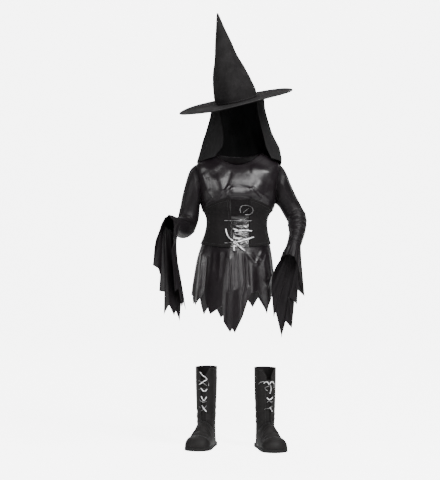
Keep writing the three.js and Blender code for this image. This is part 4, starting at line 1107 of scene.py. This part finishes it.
# lines on the unrolled shaft: angle times 0.6 and height at both ends, width, height
SHAFT_LINES = [
    [-70, 108, 0, 98, 4, 1.6], [-60, 122, 20, 114, 4, -1.2], [0, 92, 60, 104, 4, 1.6],
    [30, 118, 74, 112, 4, 1.4], [-80, 92, -40, 84, 4, 1.2], [-76, 138, -50, 132, 5, 1.2],
    [50, 140, 80, 132, 5, 1.2], [80, 100, 130, 110, 5, 1.6], [90, 124, 140, 116, 5, -1.4],
    [-130, 106, -84, 114, 5, 1.6], [-60, 170, -54, 230, 6, 0.9], [56, 160, 60, 240, 6, 0.9],
    [100, 160, 104, 250, 7, 1.0], [-104, 150, -100, 240, 7, 1.0],
]
for side in BOOTS:
    slit = np.degrees(BOOT["slit"] / 2 / smooth(SHAFT, BOOT["height"] / 2)[0])
    sides = [np.linspace(slit, 60, 30)[:-1], np.linspace(60, 300, 81), np.linspace(300, 360 - slit, 30)[1:]]
    angle = np.concatenate(sides)
    v = np.linspace(0, 1, 96)[:, None]
    foot = BOOT["sole"] + SEAM + BOOT["instep"] * forward(angle) ** 0.8
    rim = BOOT["height"] - BOOT["dip"] * forward(angle) ** 10
    z = foot * (1 - v) + rim * v
    skin = shaft_point(angle, z)
    turned = ((angle + 180) % 360 - 180) * SHAFT_MM_PER_DEGREE
    border = rise(np.abs(angle - 180), 180 - slit, 180 - slit - 12) * rise(z, 60, 90) * rise(rim - z, 4, 24)
    skin = raised(skin, ridges(turned, z, SHAFT_LINES) * border, INSIDE_SHAFT)
    hem_roll = 0.5 * np.exp(-(((rim - z - 2) / 1.6) ** 2)) - 0.2 * np.exp(-(((rim - z - 7) / 1.0) ** 2))
    skin = raised(skin, hem_roll, INSIDE_SHAFT)
    shaft = boot_piece(side, "shaft", skin, INSIDE_SHAFT)
    boot_stitches(side, skin, INSIDE_SHAFT, {
        "rim": -4,
        "edge_left": np.s_[6:-4, 4],
        "edge_right": np.s_[6:-4, -5],
        "back_left": np.s_[6:-4, 68],
        "back_right": np.s_[6:-4, 70],
    })

    under = -STIFF - SEAM - 1.1
    foot_top = BOOT["sole"] + SEAM + BOOT["instep"]
    angle = np.linspace(-38, 38, 24)
    v = np.linspace(0, 1, 50)[:, None]
    top_edge = BOOT["height"] - BOOT["dip"] - 8 + 2 * cos(angle * 2)
    z = (foot_top + 4) * (1 - v) + top_edge * v
    skin = shaft_point(angle, z, under)
    tongue = boot_piece(side, "tongue", skin, INSIDE_SHAFT)

    end, clear = 0.98, SEAM + STIFF + 0.5
    u = np.linspace(-end, end, 74)
    v = np.linspace(0, 1, 46)[:, None]
    section = smooth(FOOT, VAMP_BACK * (1 - v) + (BOOT["seam"] - SEAM) * v)
    arch = cos(u * 90) ** ARCH
    low = cos(end * 90) ** ARCH
    x = section[..., 0] * sin(u * 90)
    z = BOOT["sole"] + SEAM + (section[..., 1] - BOOT["sole"]) * (arch - low) / (1 - low)
    ring = smooth(SHAFT, z)
    reach = np.minimum(np.abs(x) / (ring[..., 0] + clear), 1)
    back = np.maximum((ring[..., 1] + clear) * np.sqrt(1 - reach**2), 6)
    y = -(back * (1 - v) + (BOOT["seam"] - SEAM) * v)
    skin = np.stack([x, y, z], -1)
    creased = ridges(x, y, [
        [-30, -84, 28, -80, 3.5, -1.6], [-26, -94, 24, -92, 3.5, 1.4], [-34, -72, 10, -68, 4, 1.4],
        [-8, -60, 32, -62, 4, 1.2], [-28, -54, 20, -52, 5, -1.0],
    ])
    border = rise(v, 0.04, 0.2) * rise(1 - v, 0.02, 0.12) * rise(z, 18, 40)
    skin = raised(skin, creased * border, INSIDE_FOOT)
    vamp = boot_piece(side, "vamp", skin, INSIDE_FOOT)
    boot_stitches(side, skin, INSIDE_FOOT, {"throat_outer": 2, "throat_inner": 5})

    u = np.linspace(-0.96, 0.96, 64)
    v = np.linspace(0, 1, 40)[:, None]
    section = smooth(FOOT, BOOT["seam"])
    arch = cos(u * 90) ** ARCH
    span = BOOT["toe"] - BOOT["seam"]
    far = (span + (section[1] - BOOT["sole"] - span) * v**1.4) * arch
    x = (section[0] + 0.6) * sin(u * 90) + 0 * v
    y = -BOOT["seam"] - far * cos(90 * v)
    z = BOOT["sole"] + SEAM + far * sin(90 * v)
    skin = np.stack([x, y, z], -1)
    middle = (0, -BOOT["seam"], BOOT["sole"] + 5)
    cap = boot_piece(side, "toe_cap", skin, middle)
    boot_stitches(side, skin, middle, {"cap_outer": -3, "cap_inner": -6})

    # The sole is cut to the outline. Its edge has a groove under the welt and rounded corners.
    s = np.linspace(-55, 151, 80)
    half = np.maximum(smooth(OUTLINE, s)[..., 0], 0)
    ends = np.interp(s, [-55, -54, 150, 151], [0.9, 1, 1, 0.9])
    loop = np.concatenate([np.stack([half * ends, -s], -1), np.stack([-half * ends, -s], -1)[::-1]])
    centre_line = np.array([0, -48.0])
    length = np.linalg.norm(loop - centre_line, axis=-1, keepdims=True)
    rings = loop[None] - (loop - centre_line)[None] / length[None] * PROFILE[:, 1, None, None]
    heights = np.broadcast_to(PROFILE[:, 0, None, None], rings.shape[:2] + (1,))
    points = boot_place(side, np.concatenate([rings, heights], -1).reshape(-1, 3))
    count = len(loop)
    index = np.arange(len(PROFILE))[:, None] * count + np.arange(count + 1) % count
    ends = [index[0, :-1].tolist(), index[-1, -2::-1].tolist()]
    name = "boot_" + side + "_sole"
    sole = solid(name + "_rubber", points, quads(index, (0, 3, 2, 1)).tolist() + ends, soft=False)
    fit(sole, RUBBER, name)

# Boot laces. A thinner silver cord lies slack over each open front, in four crosses of two or three
# strands, and ends in two loose ends at the top.
# cross, thickness, then angle, height and lift along the strand
STRANDS = {
    "right": [
        (4, 3.4, [[-22, 217, 0.6], [-6, 223, 3.6], [8, 230, 3.8], [22, 235, 0.8]]),
        (4, 2.6, [[22, 214, 0.5], [6, 221, 0.9], [-8, 228, 0.9], [-24, 231, 0.5]]),
        (3, 3.6, [[-10, 206, 1.2], [2, 197, 2.4], [12, 195, 1.4], [22, 203, 0.8]]),
        (3, 2.4, [[-26, 200, 0.5], [-9, 203, 0.8], [9, 203, 0.8], [26, 200, 0.5]]),
        (2, 3.4, [[-9, 178, 0.9], [-2, 168, 2.0], [7, 162, 1.8], [14, 169, 1.2], [20, 176, 0.8]]),
        (2, 2.4, [[-24, 169, 0.5], [-12, 160, 0.9], [3, 157, 0.8], [20, 160, 0.5]]),
        (1, 3.4, [[-6, 146, 0.9], [3, 136, 2.4], [12, 129, 1.4], [20, 123, 0.8]]),
        (1, 3.0, [[20, 145, 0.7], [11, 138, 0.9], [2, 131, 0.6], [-12, 127, 0.6]]),
        (1, 2.2, [[-25, 141, 0.5], [-16, 137, 0.8], [-8, 134, 0.5]]),
    ],
    "left": [
        (4, 3.2, [[-27, 226, 0.6], [-17, 231, 1.2], [-6, 229, 1.6], [0, 221, 1.2]]),
        (4, 3.2, [[4, 222, 1.4], [9, 230, 1.8], [20, 231, 1.2], [28, 225, 0.7]]),
        (4, 2.2, [[-20, 212, 0.5], [-4, 216, 0.8], [14, 219, 0.8], [24, 214, 0.5]]),
        (3, 3.6, [[7, 219, 1.6], [10, 209, 2.6], [8, 198, 2.2], [5, 190, 1.0]]),
        (3, 2.6, [[-22, 212, 0.5], [-16, 204, 0.9], [-6, 200, 0.8]]),
        (2, 3.4, [[-11, 177, 0.8], [0, 170, 2.2], [12, 172, 2.2], [23, 178, 0.8]]),
        (2, 3.0, [[-12, 160, 0.7], [2, 165, 0.7], [12, 161, 0.9], [22, 163, 0.7]]),
        (1, 2.8, [[-25, 136, 0.6], [-10, 139, 1.0], [4, 140, 1.2], [22, 147, 0.8]]),
        (1, 3.6, [[4, 145, 2.6], [12, 136, 2.6], [22, 127, 0.8]]),
    ],
}
# Boot strands at least this thick take the lit silver, and thinner ones the silver painted darker as
# painted shade.
BOOT_LIT_FROM = 3.2
END_WIDTH = {"up": 3.2, "down": 2.6}
# angle, height, lift
BOOT_ENDS = {
    "right": {
        "up": [[22, 236, 1.6], [14, 243, 1.8], [4, 248, 1.2], [-6, 254, 1], [-15, 262, 0.8]],
        "down": [[24, 233, 0.8], [29, 224, 1.4], [30, 212, 0.8]],
    },
    "left": {
        "up": [[-20, 230, 1], [-32, 232, 0.8], [-44, 229, 0.8], [-54, 222, 0.8]],
        "down": [[18, 234, 1], [26, 231, 1], [31, 222, 0.8], [31, 208, 0.8]],
    },
}


def boot_route(side, rows, across):
    """A path over a shaft, from rows of angle, height and the cord's lift off the leather."""
    angle, z, lift = np.array(rows, float).T
    return boot_place(side, shaft_point(angle, z, across / 2 + lift))


for side in BOOTS:
    for number, (cross, across, rows) in enumerate(STRANDS[side], 1):
        name = "boot_" + side + "_lace_cross_" + str(cross)
        path = boot_route(side, rows, across)
        lace = cord(name + "_strand_" + str(number), path, across)
        fit(lace, SHADED_SILVER if across < BOOT_LIT_FROM else SILVER, name)
    for which, rows in BOOT_ENDS[side].items():
        across = END_WIDTH[which]
        name = "boot_" + side + "_lace_end_" + which
        path = boot_route(side, rows, across)
        lace = cord(name + "_cord", path, across)
        # Only the right boot's upper end takes the lit silver; the other ends take the silver painted
        # darker as painted shade.
        fit(lace, SILVER if name == "boot_right_lace_end_up" else SHADED_SILVER, name)
        free_end(path, across)
